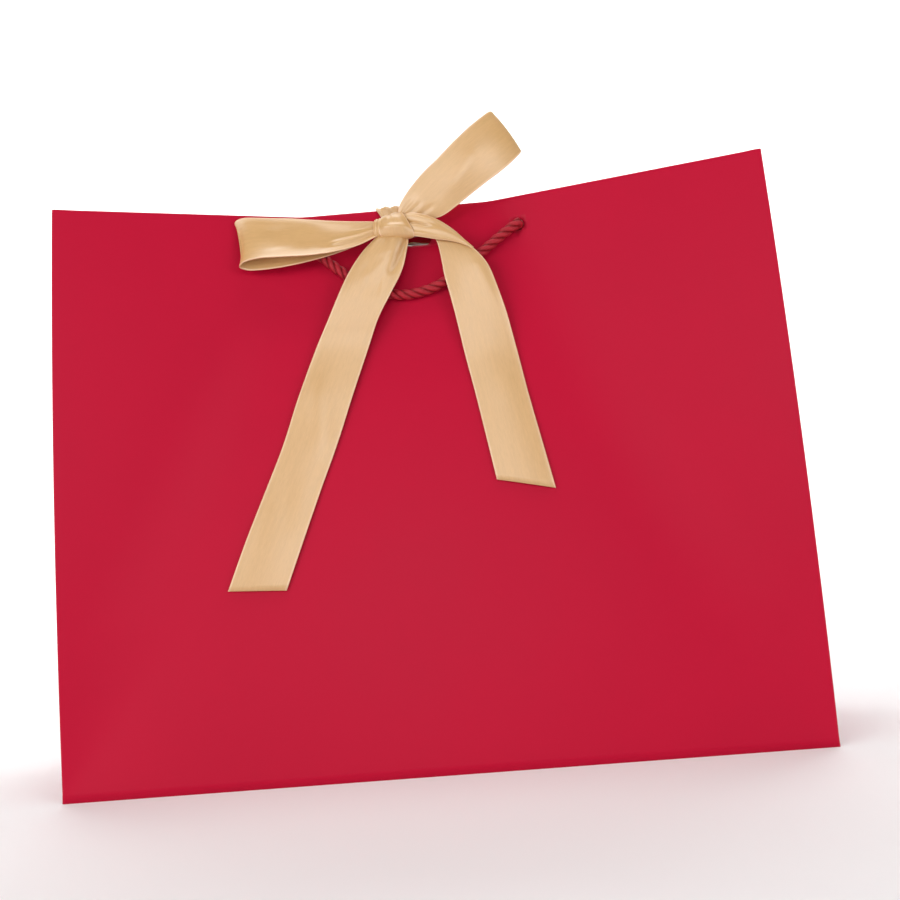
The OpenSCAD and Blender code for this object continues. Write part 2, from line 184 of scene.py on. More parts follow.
def set_float(obj: bpy.types.Object, name: str, values: np.ndarray) -> None:
    """Stores one value per vertex as a named attribute."""
    attribute = obj.data.attributes.new(name, "FLOAT", "POINT")
    attribute.data.foreach_set("value", values.astype(np.float32))


def set_uv(obj: bpy.types.Object, per_vertex: np.ndarray) -> None:
    """Stores a UV map, in metres, from one pair per vertex.

    Args:
        obj: The piece.
        per_vertex: U and V of each vertex.
    """
    layer = obj.data.uv_layers.new(name="strip")
    loops = np.zeros(len(obj.data.loops), int)
    obj.data.loops.foreach_get("vertex_index", loops)
    layer.data.foreach_set("uv", per_vertex[loops].astype(np.float32).ravel())


def thicken(
    points: np.ndarray, faces: list[tuple[int, ...]], thickness: np.ndarray | float, centred: bool = False
) -> tuple[np.ndarray, list[tuple[int, ...]], list[int]]:
    """A closed sheet from a surface.

    Args:
        points: Points of the surface.
        faces: Its faces, turned outwards.
        thickness: Thickness of the sheet, one value or one per point.
        centred: Whether the surface is the sheet's middle, in place of its outer face.

    Returns:
        Points, faces, and for each face 0 for outer, 1 for inner and 2 for a cut edge.
    """
    count = len(points)
    depth = vertex_normals(points, faces) * np.reshape(thickness, (-1, 1))
    outer = points + depth / 2 if centred else points
    inner = outer - depth
    directed = {(f[k], f[(k + 1) % len(f)]) for f in faces for k in range(len(f))}
    rim = [(a, b) for a, b in sorted(directed) if (b, a) not in directed]
    closed = list(faces) + [tuple(i + count for i in reversed(f)) for f in faces]
    closed += [(b, a, a + count, b + count) for a, b in rim]
    kinds = [0] * len(faces) + [1] * len(faces) + [2] * len(rim)
    return np.vstack([outer, inner]), closed, kinds


# ---------------------------------------------------------------- shared shader groups


class Shader:
    """Short helper that adds nodes to a material or a node group and links them."""

    def __init__(self, tree: bpy.types.NodeTree) -> None:
        """Keeps the tree that nodes are added to."""
        self.tree = tree

    def add(self, kind: str, **settings: object) -> bpy.types.Node:
        """Adds a node and sets its properties.

        Args:
            kind: Type of the node.
            settings: Properties by name.

        Returns:
            The node.
        """
        node = self.tree.nodes.new(kind)
        for key, value in settings.items():
            setattr(node, key, value)
        return node

    def link(self, source: bpy.types.NodeSocket, target: bpy.types.NodeSocket) -> None:
        """Links two sockets."""
        self.tree.links.new(source, target)

    def feed(self, node: bpy.types.Node, values: dict[str, object]) -> bpy.types.Node:
        """Sets inputs of a node by name, from a socket or a plain value.

        Args:
            node: The node.
            values: A socket or a value for each input.

        Returns:
            The same node.
        """
        for key, value in values.items():
            if isinstance(value, bpy.types.NodeSocket):
                self.link(value, node.inputs[key])
            else:
                node.inputs[key].default_value = value
        return node

    def math(self, operation: str, a: object, b: object = 0.0) -> bpy.types.NodeSocket:
        """A Math node's result.

        Args:
            operation: What it works out.
            a: First socket or value.
            b: Second socket or value.

        Returns:
            The output socket.
        """
        node = self.add("ShaderNodeMath", operation=operation)
        for socket, value in zip(node.inputs, (a, b)):
            if isinstance(value, bpy.types.NodeSocket):
                self.link(value, socket)
            else:
                socket.default_value = value
        return node.outputs[0]

    def mix_colour(self, factor: object, a: object, b: object) -> bpy.types.NodeSocket:
        """A colour mixed from a to b by factor.

        Args:
            factor: Share of b, a socket or a value.
            a: First colour.
            b: Second colour.

        Returns:
            The output socket.
        """
        node = self.add("ShaderNodeMix", data_type="RGBA")
        for index, value in ((0, factor), (6, a), (7, b)):
            if isinstance(value, bpy.types.NodeSocket):
                self.link(value, node.inputs[index])
            else:
                node.inputs[index].default_value = value
        return node.outputs[2]

    def ramp(self, factor: bpy.types.NodeSocket, low: float, high: float) -> bpy.types.NodeSocket:
        """A value from 0 to 1 as the factor goes from low to high.

        Args:
            factor: What is read.
            low: Where it gives 0.
            high: Where it gives 1.

        Returns:
            The output socket.
        """
        node = self.add("ShaderNodeMapRange", interpolation_type="SMOOTHSTEP")
        self.feed(node, {"Value": factor, "From Min": low, "From Max": high})
        return node.outputs[0]

    def noise(self, vector: bpy.types.NodeSocket, scale: float, detail: float = 3.0) -> bpy.types.NodeSocket:
        """A noise texture's value.

        Args:
            vector: Place that is read.
            scale: Size of the pattern.
            detail: Number of finer layers.

        Returns:
            The output socket.
        """
        node = self.add("ShaderNodeTexNoise")
        self.feed(node, {"Vector": vector, "Scale": scale, "Detail": detail})
        return node.outputs["Fac"]

    def stretch(self, vector: bpy.types.NodeSocket, scale: Point) -> bpy.types.NodeSocket:
        """A vector scaled by three factors.

        Args:
            vector: The vector.
            scale: Its three factors.

        Returns:
            The output socket.
        """
        node = self.add("ShaderNodeVectorMath", operation="MULTIPLY")
        self.link(vector, node.inputs[0])
        node.inputs[1].default_value = scale
        return node.outputs[0]


Sockets = dict[str, tuple[str, object]]


def new_group(name: str, inputs: Sockets, outputs: dict[str, str]) -> tuple[bpy.types.NodeTree, Shader]:
    """An empty shader node group with named sockets.

    Args:
        name: Name of the group.
        inputs: Socket type and default value by name.
        outputs: Socket type by name.

    Returns:
        The group, and a helper that adds nodes to it.
    """
    tree = bpy.data.node_groups.new(name, "ShaderNodeTree")
    for key, (kind, default) in inputs.items():
        socket = tree.interface.new_socket(name=key, in_out="INPUT", socket_type=kind)
        if default is not None:
            socket.default_value = default
    for key, kind in outputs.items():
        tree.interface.new_socket(name=key, in_out="OUTPUT", socket_type=kind)
    return tree, Shader(tree)


class Effects:
    """Node groups that more than one finish uses."""

    def __init__(self) -> None:
        """Builds each group once."""
        self.grain = self._grain()
        self.wear = self._wear()
        self.weave = self._weave()

    @staticmethod
    def _grain() -> bpy.types.NodeTree:
        """Fibres of paper or card: a tint of the colour and a fine height.

        Returns:
            The node group.
        """
        tree, s = new_group(
            "paper_grain",
            {"Vector": ("NodeSocketVector", None), "Colour": ("NodeSocketColor", (1, 1, 1, 1)),
             "Cloud": ("NodeSocketFloat", 0.1), "Fibre": ("NodeSocketFloat", 0.1)},
            {"Colour": "NodeSocketColor", "Height": "NodeSocketFloat", "Cloud": "NodeSocketFloat"},
        )
        given = s.add("NodeGroupInput")
        out = s.add("NodeGroupOutput")
        cloud = s.noise(given.outputs["Vector"], 14.0, 2.0)
        fibres = s.noise(s.stretch(given.outputs["Vector"], (1.0, 1.0, 0.35)), 1900.0, 4.0)
        centred = s.math("SUBTRACT", cloud, 0.5)
        fine = s.math("SUBTRACT", fibres, 0.5)
        shade = s.math("ADD", s.math("MULTIPLY", centred, given.outputs["Cloud"]),
                       s.math("MULTIPLY", fine, given.outputs["Fibre"]))
        tint = s.add("ShaderNodeHueSaturation")
        s.feed(tint, {"Color": given.outputs["Colour"], "Value": s.math("ADD", shade, 1.0)})
        s.link(tint.outputs[0], out.inputs["Colour"])
        s.link(fibres, out.inputs["Height"])
        s.link(cloud, out.inputs["Cloud"])
        return tree

    @staticmethod
    def _wear() -> bpy.types.NodeTree:
        """Rubbed creases and edges: a broken mask, and the colour mixed by it.

        Returns:
            The node group.
        """
        tree, s = new_group(
            "edge_wear",
            {"Vector": ("NodeSocketVector", None), "Colour": ("NodeSocketColor", (1, 1, 1, 1)),
             "Worn": ("NodeSocketColor", (1, 1, 1, 1)), "Edge": ("NodeSocketFloat", 0.0),
             "Amount": ("NodeSocketFloat", 0.5)},
            {"Colour": "NodeSocketColor", "Mask": "NodeSocketFloat"},
        )
        given = s.add("NodeGroupInput")
        out = s.add("NodeGroupOutput")
        broken = s.ramp(s.noise(given.outputs["Vector"], 260.0, 5.0), 0.35, 0.75)
        near = s.math("MULTIPLY", given.outputs["Edge"], given.outputs["Amount"])
        mask = s.math("MULTIPLY", near, s.math("ADD", s.math("MULTIPLY", broken, 0.75), 0.25))
        colour = s.mix_colour(mask, given.outputs["Colour"], given.outputs["Worn"])
        s.link(colour, out.inputs["Colour"])
        s.link(mask, out.inputs["Mask"])
        return tree

    @staticmethod
    def _weave() -> bpy.types.NodeTree:
        """Long satin floats, or the filaments of a rope's strand, along V of the strip.

        Returns:
            The node group.
        """
        tree, s = new_group(
            "thread_lines",
            {"Strip": ("NodeSocketVector", None), "Colour": ("NodeSocketColor", (1, 1, 1, 1)),
             "Shade": ("NodeSocketColor", (0.5, 0.5, 0.5, 1)), "Contrast": ("NodeSocketFloat", 0.3)},
            {"Colour": "NodeSocketColor", "Height": "NodeSocketFloat", "Rough": "NodeSocketFloat"},
        )
        given = s.add("NodeGroupInput")
        out = s.add("NodeGroupOutput")
        threads = s.noise(s.stretch(given.outputs["Strip"], (6500.0, 260.0, 1.0)), 1.0, 2.0)
        slubs = s.noise(s.stretch(given.outputs["Strip"], (700.0, 45.0, 1.0)), 1.0, 3.0)
        lines = s.math("ADD", s.math("MULTIPLY", threads, 0.65), s.math("MULTIPLY", slubs, 0.35))
        dark = s.math("MULTIPLY", s.ramp(lines, 0.62, 0.36), given.outputs["Contrast"])
        s.link(s.mix_colour(dark, given.outputs["Colour"], given.outputs["Shade"]), out.inputs["Colour"])
        s.link(lines, out.inputs["Height"])
        s.link(s.ramp(lines, 0.2, 0.8), out.inputs["Rough"])
        return tree


# ---------------------------------------------------------------- finishes


def start_material(name: str) -> tuple[bpy.types.Material, Shader, bpy.types.Node]:
    """A node material with only its Principled shader and output.

    Args:
        name: Name of the material.

    Returns:
        The material, a helper that adds nodes to it, and its shader.
    """
    material = bpy.data.materials.new(name)
    material.use_nodes = True
    tree = material.node_tree
    return material, Shader(tree), tree.nodes["Principled BSDF"]


@dataclass(frozen=True)
class PaperFinish:
    """Coated or bare paper and card, with fibres and rubbed creases."""

    name: str
    colour: tuple[float, float, float]
    worn: tuple[float, float, float]
    roughness: float
    cloud: float = 0.1
    fibre: float = 0.06
    wear: float = 0.0
    bump: float = 0.08
    shine: float = 0.3

    def make(self, effects: Effects) -> bpy.types.Material:
        """Builds the material.

        Args:
            effects: The shared node groups.

        Returns:
            The finished material.
        """
        material, s, shader = start_material(self.name)
        place = s.add("ShaderNodeTexCoord").outputs["Object"]
        grain = s.add("ShaderNodeGroup", node_tree=effects.grain)
        s.feed(grain, {"Vector": place, "Colour": (*self.colour, 1), "Cloud": self.cloud, "Fibre": self.fibre})
        edge = s.add("ShaderNodeAttribute", attribute_name="edge")
        wear = s.add("ShaderNodeGroup", node_tree=effects.wear)
        s.feed(wear, {"Vector": place, "Colour": grain.outputs["Colour"], "Worn": (*self.worn, 1),
                      "Edge": edge.outputs["Fac"], "Amount": self.wear})
        rough = s.math("ADD", s.math("MULTIPLY", grain.outputs["Cloud"], 0.1), self.roughness - 0.05)
        bump = s.add("ShaderNodeBump")
        s.feed(bump, {"Height": grain.outputs["Height"], "Strength": self.bump, "Distance": 0.0001})
        s.feed(shader, {
            "Base Color": wear.outputs["Colour"],
            "Roughness": s.math("ADD", rough, s.math("MULTIPLY", wear.outputs["Mask"], 0.2)),
            "Normal": bump.outputs["Normal"], "Specular IOR Level": self.shine,
        })
        return material


@dataclass(frozen=True)
class SatinFinish:
    """Woven satin ribbon: long shiny floats along its length, with a painted highlight along both edges."""

    name: str
    colour: tuple[float, float, float]
    shade: tuple[float, float, float]
    contrast: float
    roughness: float
    anisotropy: float
    # Painted highlight: the paler, pinker colour that both edges of the ribbon are mixed halfway towards, for light
    # caught along them.
    selvedge_highlight: tuple[float, float, float] = (0.86, 0.58, 0.38)
    width: float = 0.025

    def make(self, effects: Effects) -> bpy.types.Material:
        """Builds the material.

        Args:
            effects: The shared node groups.

        Returns:
            The finished material.
        """
        material, s, shader = start_material(self.name)
        strip = s.add("ShaderNodeUVMap", uv_map="strip").outputs["UV"]
        weave = s.add("ShaderNodeGroup", node_tree=effects.weave)
        s.feed(weave, {"Strip": strip, "Colour": (*self.colour, 1), "Shade": (*self.shade, 1),
                       "Contrast": self.contrast})
        parts = s.add("ShaderNodeSeparateXYZ")
        s.link(strip, parts.inputs[0])
        off_middle = s.math("ABSOLUTE", s.math("SUBTRACT", parts.outputs["X"], self.width / 2))
        # Painted highlight: a mask that rises over the last 1.1 mm to each edge and mixes the colour halfway to the
        # paler edge colour.
        selvedge_highlight = s.ramp(off_middle, self.width / 2 - 0.0011, self.width / 2 - 0.0005)
        colour = s.mix_colour(s.math("MULTIPLY", selvedge_highlight, 0.5), weave.outputs["Colour"], (*self.selvedge_highlight, 1))
        bump = s.add("ShaderNodeBump")
        s.feed(bump, {"Height": weave.outputs["Height"], "Strength": 0.12, "Distance": 0.00008})
        tangent = s.add("ShaderNodeTangent", direction_type="UV_MAP", uv_map="strip")
        rough = s.math("ADD", s.math("MULTIPLY", weave.outputs["Rough"], 0.12), self.roughness)
        s.feed(shader, {
            "Base Color": colour, "Roughness": rough, "Normal": bump.outputs["Normal"],
            "Tangent": tangent.outputs[0], "Anisotropic": self.anisotropy, "Anisotropic Rotation": 0.25,
            "Sheen Weight": 0.05, "Sheen Roughness": 0.35, "IOR": 1.75, "Specular IOR Level": 0.7,
        })
        return material


@dataclass(frozen=True)
class RopeFinish:
    """Glossy filaments of a twisted rope, with painted shade on the sides of each strand, down between the strands.
    """

    name: str
    colour: tuple[float, float, float]
    # Painted shade: dark colour for the shaded sides of the strands, also used as the tone of their darker filament
    # lines.
    groove_shade: tuple[float, float, float]
    roughness: float

    def make(self, effects: Effects) -> bpy.types.Material:
        """Builds the material.

        Args:
            effects: The shared node groups.

        Returns:
            The finished material.
        """
        material, s, shader = start_material(self.name)
        strip = s.add("ShaderNodeUVMap", uv_map="strip").outputs["UV"]
        weave = s.add("ShaderNodeGroup", node_tree=effects.weave)
        s.feed(weave, {"Strip": strip, "Colour": (*self.colour, 1), "Shade": (*self.groove_shade, 1), "Contrast": 0.6})
        # Painted shade: a per-point mask, 1 on each strand's sides and inner face, mixes the colour towards the dark
        # shade colour.
        depth = s.add("ShaderNodeAttribute", attribute_name="groove_shade")
        colour = s.mix_colour(depth.outputs["Fac"], weave.outputs["Colour"], (*self.groove_shade, 1))
        bump = s.add("ShaderNodeBump")
        s.feed(bump, {"Height": weave.outputs["Height"], "Strength": 0.35, "Distance": 0.0002})
        rough = s.math("ADD", s.math("MULTIPLY", weave.outputs["Rough"], 0.15), self.roughness)
        s.feed(shader, {"Base Color": colour, "Roughness": rough, "Normal": bump.outputs["Normal"],
                        "Sheen Weight": 0.01, "Sheen Roughness": 0.4, "Specular IOR Level": 0.3})
        return material


class Wardrobe:
    """All the materials of the bag."""

    RED = PaperFinish("red_laminate", (0.465, 0.0036, 0.03), (0.62, 0.09, 0.1), 0.4, 0.1, 0.05, 0.22, 0.05, 0.1)
    WHITE = PaperFinish("white_inside", (0.84, 0.82, 0.79), (0.7, 0.66, 0.62), 0.75, 0.05, 0.1, 0.1, 0.15)
    CUT = PaperFinish("cut_edge", (0.52, 0.17, 0.17), (0.66, 0.32, 0.3), 0.8, 0.1, 0.2, 0.3, 0.2)
    CARD = PaperFinish("grey_card", (0.5, 0.42, 0.33), (0.6, 0.52, 0.42), 0.85, 0.15, 0.3, 0.2, 0.3)
    SATIN = SatinFinish("champagne_satin", (0.635, 0.375, 0.148), (0.43, 0.23, 0.07), 0.3, 0.3, 0.5)
    # The rope's second colour is painted shade between its strands.
    ROPE = RopeFinish("red_twist", (0.47, 0.014, 0.03), (0.21, 0.0015, 0.006), 0.45)

    def __init__(self) -> None:
        """Builds the groups, then each material."""
        effects = Effects()
        self.red = self.RED.make(effects)
        self.white = self.WHITE.make(effects)
        self.cut = self.CUT.make(effects)
        self.card = self.CARD.make(effects)
        self.satin = self.SATIN.make(effects)
        self.rope = self.ROPE.make(effects)


# ---------------------------------------------------------------- studio


@dataclass
class Studio:
    """Camera, soft lights and a pale seamless floor."""

    eye: Point = (0.0211, -0.4931, 0.1133)
    pitch: float = 3.66
    yaw: float = -1.18
    roll: float = -4.55
    lens: float = 40.0

    def build(self) -> None:
        """Makes everything that isn't part of the object."""
        self._camera()
        self._floor()
        self._world()
        self._light("key", (-1.15, -1.25, 0.5), (0, 0, 0.14), 1.0, 10.5, (1.0, 0.985, 0.965))
        self._light("fill", (1.25, -1.2, 0.3), (0, 0, 0.14), 1.0, 7.0, (0.97, 0.985, 1.0))
        self._light("front", (-0.1, -1.75, 0.52), (0, 0, 0.12), 0.6, 4.4, (1.0, 0.995, 0.98))
        self._light("top", (0.0, -0.1, 1.4), (0, 0, 0.14), 0.9, 9.0, (1.0, 1.0, 1.0))
        self._light("backdrop_left", (-0.9, 0.9, 1.5), (-0.6, 1.9, 0.7), 1.2, 22.0, (1.0, 1.0, 1.0))
        self._light("backdrop_right", (0.9, 0.9, 1.5), (0.6, 1.9, 0.7), 1.2, 22.0, (1.0, 1.0, 1.0))
        bpy.context.scene.view_settings.view_transform = "Standard"

    @staticmethod
    def _world() -> None:
        """A room that is paler near the horizon than overhead."""
        world = bpy.data.worlds.new("studio")
        world.use_nodes = True
        s = Shader(world.node_tree)
        parts = s.add("ShaderNodeSeparateXYZ")
        s.link(s.add("ShaderNodeTexCoord").outputs["Generated"], parts.inputs[0])
        height = s.ramp(parts.outputs["Z"], -0.05, 0.6)
        colour = s.mix_colour(height, (0.68, 0.68, 0.68, 1), (0.16, 0.16, 0.165, 1))
        s.link(colour, world.node_tree.nodes["Background"].inputs["Color"])
        bpy.context.scene.world = world

    def _camera(self) -> None:
        """Places the camera by its pitch, yaw and roll."""
        pitch, yaw, roll = (math.radians(a) for a in (self.pitch, self.yaw, self.roll))
        forward = Vector((math.sin(yaw) * math.cos(pitch), math.cos(yaw) * math.cos(pitch), math.sin(pitch)))
        right = Vector((math.cos(yaw), -math.sin(yaw), 0))
        up = right.cross(forward)
        across = math.cos(roll) * right + math.sin(roll) * up
        above = math.cos(roll) * up - math.sin(roll) * right
        data = bpy.data.cameras.new("camera")
        data.lens = self.lens
        data.sensor_width = 36.0
        camera = bpy.data.objects.new("camera", data)
        camera.matrix_world = Matrix.Translation(self.eye) @ Matrix((across, above, -forward)).transposed().to_4x4()
        bpy.context.scene.collection.objects.link(camera)
        bpy.context.scene.camera = camera

    def _floor(self) -> None:
        """A large pale floor that sweeps up behind the bag, with faint mottling."""
        turn = np.linspace(0, math.pi / 2, 13)
        profile = [(-3000.0, 0.0), (1200.0, 0.0)]
        profile += [(1200 + 700 * math.sin(a), 700 * (1 - math.cos(a))) for a in turn[1:]]
        profile.append((1900.0, 2600.0))
        points = np.array([[x, y, z] for y, z in profile for x in (-3500.0, 3500.0)])
        faces = [(2 * i, 2 * i + 1, 2 * i + 3, 2 * i + 2) for i in range(len(profile) - 1)]
        floor = make_object("floor", points, faces)
        material, s, shader = start_material("pale_floor")
        place = s.add("ShaderNodeTexCoord").outputs["Object"]
        pale = s.mix_colour(s.noise(place, 6.0), (0.9, 0.9, 0.9, 1), (0.93, 0.93, 0.925, 1))
        s.feed(shader, {"Base Color": pale, "Roughness": 0.8, "Specular IOR Level": 0.2})
        floor.data.materials.append(material)

    @staticmethod
    def _light(name: str, place: Point, aim: Point, size: float, power: float, colour: Point) -> None:
        """One square soft box.

        Args:
            name: Name of the light.
            place: Where it stands.
            aim: What it looks at.
            size: Length of its side.
            power: Its power in watts.
            colour: Its colour.
        """
        data = bpy.data.lights.new(name, "AREA")
        data.size, data.energy, data.color = size, power, colour
        light = bpy.data.objects.new(name, data)
        light.location = place
        light.rotation_euler = (Vector(aim) - Vector(place)).to_track_quat("-Z", "Y").to_euler()
        bpy.context.scene.collection.objects.link(light)


# ---------------------------------------------------------------- the bag's paper


@dataclass
class BagForm:
    """The folded shape of the bag's walls, worked out from the flat paper."""

    half_w: float
    half_d: float
    mid_z: float
    hole_z: float
    tie_half: float = 5.5
    mouth_half: float = 39.0
    tie_x: float = -7.0
    flat_half: float = 46.5
    bend_soft: float = 26.0
    bend_top: float = 4.0
    edge_bow: float = 1.6
    foot_lean: float = 17.5
    crease_drop: float = 2.0
    hole_drop: float = 14.3
    slot_drop: float = 17.8
    paper_t: float = 0.35

    @classmethod
    def from_frame(cls) -> "BagForm":
        """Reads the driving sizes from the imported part.

        Returns:
            The form of the bag.
        """
        hole_z = next(j["pos_m"][2] for j in frame["joints"] if j["name"] == "front_handle_swing") / MM
        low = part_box("front_panel")[0]
        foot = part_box("right_gusset_foot")[1].x
        return cls(half_w=foot / MM + cls.paper_t, half_d=-low.y / MM, mid_z=hole_z + cls.hole_drop, hole_z=hole_z)

    def __post_init__(self) -> None:
        """Works out the paper's length and the top corners."""
        self.length = math.hypot(self.mid_z, self.half_d - self.tie_half)
        self.corner_z = math.sqrt(self.length**2 - (self.half_d - self.mouth_half) ** 2)
        self.bends = {s: self.tie_x + s * self.flat_half for s in (-1, 1)}
        self.corners = {}
        for s in (-1, 1):
            wing = self.half_w - s * self.bends[s]
            out = math.sqrt(wing**2 - (self.mouth_half - self.tie_half) ** 2 - (self.corner_z - self.mid_z) ** 2)
            self.corners[s] = self.bends[s] + s * out

    def face_y(self, z: float) -> float:
        """Y of the front panel's middle at a height."""
        return -self.half_d + (self.half_d - self.tie_half) * z / self.mid_z

    def side_edge(self, t: np.ndarray, s: int) -> np.ndarray:
        """Front side edge at height fraction t, on side s.

        Args:
            t: Height fraction up the paper.
            s: Side, -1 left or 1 right.

        Returns:
            The points, one row each.
        """
        t = np.asarray(t, float)
        bow = s * self.edge_bow * 4 * t * (1 - t)
        return np.stack([
            s * self.half_w + (self.corners[s] - s * self.half_w) * t + bow,
            -self.half_d + (self.half_d - self.mouth_half) * t,
            self.corner_z * t,
        ], -1)

    def panel(self, u: np.ndarray, t: np.ndarray, off: np.ndarray) -> np.ndarray:
        """Points of the front panel.

        Args:
            u: Distance across the flat paper from the middle.
            t: Height fraction up the paper.
            off: Distance inwards from the outer face.

        Returns:
            The points, one row each.
        """
        u, t, off = np.broadcast_arrays(np.asarray(u, float), np.maximum(t, 1e-4), off)
        line, edge, bend_u, wing, width = {}, {}, {}, {}, {}
        soft = self.bend_soft + (self.bend_top - self.bend_soft) * t**3
        for s in (-1, 1):
            bend_u[s] = s * self.half_w + (self.bends[s] - s * self.half_w) * t
            line[s] = np.stack([bend_u[s], -self.half_d + (self.half_d - self.tie_half) * t, self.mid_z * t], -1)
            edge[s] = self.side_edge(t, s)
            wing[s] = self.half_w - s * bend_u[s]
            width[s] = np.minimum(soft, 0.8 * wing[s])
        middle = (line[1] - line[-1]) / (bend_u[1] - bend_u[-1])[..., None]
        left = (line[-1] - edge[-1]) / wing[-1][..., None]
        right = (edge[1] - line[1]) / wing[1][..., None]
        points = line[-1] + (u - bend_u[-1])[..., None] * middle
        points = points + self._ramp(bend_u[-1] - u, width[-1])[..., None] * (middle - left)
        points = points + self._ramp(u - bend_u[1], width[1])[..., None] * (right - middle)
        points[..., 1] += off
        return points

    @staticmethod
    def _ramp(x: np.ndarray, w: np.ndarray) -> np.ndarray:
        """A ramp from 0 whose corner is rounded over a half width."""
        return np.where(x < -w, 0.0, np.where(x > w, x, (x + w) ** 2 / (4 * w)))

    def gusset(self, d: np.ndarray, t: np.ndarray, off: np.ndarray, s: int) -> np.ndarray:
        """Points of the front half of the gusset on side s.

        Args:
            d: Distance across the flat paper from the corner crease.
            t: Height fraction up the paper.
            off: Distance inwards from the outer face.
            s: Side, -1 left or 1 right.

        Returns:
            The points, one row each.
        """
        d, t, off = np.broadcast_arrays(np.asarray(d, float), np.asarray(t, float), off)
        k = d / self.half_d
        v = t * self.length
        lean = math.radians(self.foot_lean)
        f = np.clip((v - d) / (self.length - d), 0, 1)
        a = self.side_edge(f, s)
        top = self.side_edge(1.0, s)
        reach = math.sqrt(self.half_d**2 - self.mouth_half**2)
        apex = np.array([s * (self.half_w - self.half_d * math.sin(lean)), 0, self.half_d * math.cos(lean)])
        crest = np.array([top[0] - s * reach, 0, top[2] - self.crease_drop])
        b = apex + (crest - apex) * f[..., None]
        folded = a + (b - a) * k[..., None]
        foot = np.stack([s * (self.half_w - v * math.sin(lean)), -self.half_d + d, v * math.cos(lean)], -1)
        points = np.where((v < d)[..., None], foot, folded)
        along = unit(b - a)
        inward = np.stack([-s * np.abs(along[..., 1]), -np.abs(along[..., 0]), np.zeros(along.shape[:-1])], -1)
        return points + unit(inward) * off[..., None]

    def flat_place(self, x: float, z: float) -> tuple[float, float]:
        """Flat place (u, v) of a point of the front panel seen at x and z.

        Args:
            x: Distance across from the middle.
            z: Height above the floor.

        Returns:
            Distance across and up the flat paper.
        """
        u, t = x, z / self.mid_z
        for _ in range(20):
            p = self.panel(u, t, 0.0)
            u += x - float(p[0])
            t += (z - float(p[2])) / self.mid_z
        return u, t * self.length


@dataclass
class Cut:
    """A round hole or a round-ended slot in flat paper."""

    u: float
    v: float
    half_length: float
    radius: float

    def distance(self, u: np.ndarray, v: np.ndarray) -> np.ndarray:
        """Distance outside the cut's edge."""
        return np.hypot(np.maximum(np.abs(u - self.u) - self.half_length, 0), v - self.v) - self.radius

    def outline(self, arc: int = 14, straight: int = 10) -> list[tuple[float, float]]:
        """Points round the edge.

        Args:
            arc: Steps in each half turn.
            straight: Steps along each straight side.

        Returns:
            The points, in order.
        """
        points = []
        for s in (1, -1):
            for a in np.linspace(-math.pi / 2, math.pi / 2, arc + 1):
                points.append((self.u + s * (self.half_length + self.radius * math.cos(a)),
                               self.v + s * self.radius * math.sin(a)))
            if self.half_length:
                for k in range(1, straight):
                    x = self.half_length * (1 - 2 * k / straight)
                    points.append((self.u + s * x, self.v + s * self.radius))
        return [p for i, p in enumerate(points) if math.dist(p, points[i - 1]) > 1e-6]


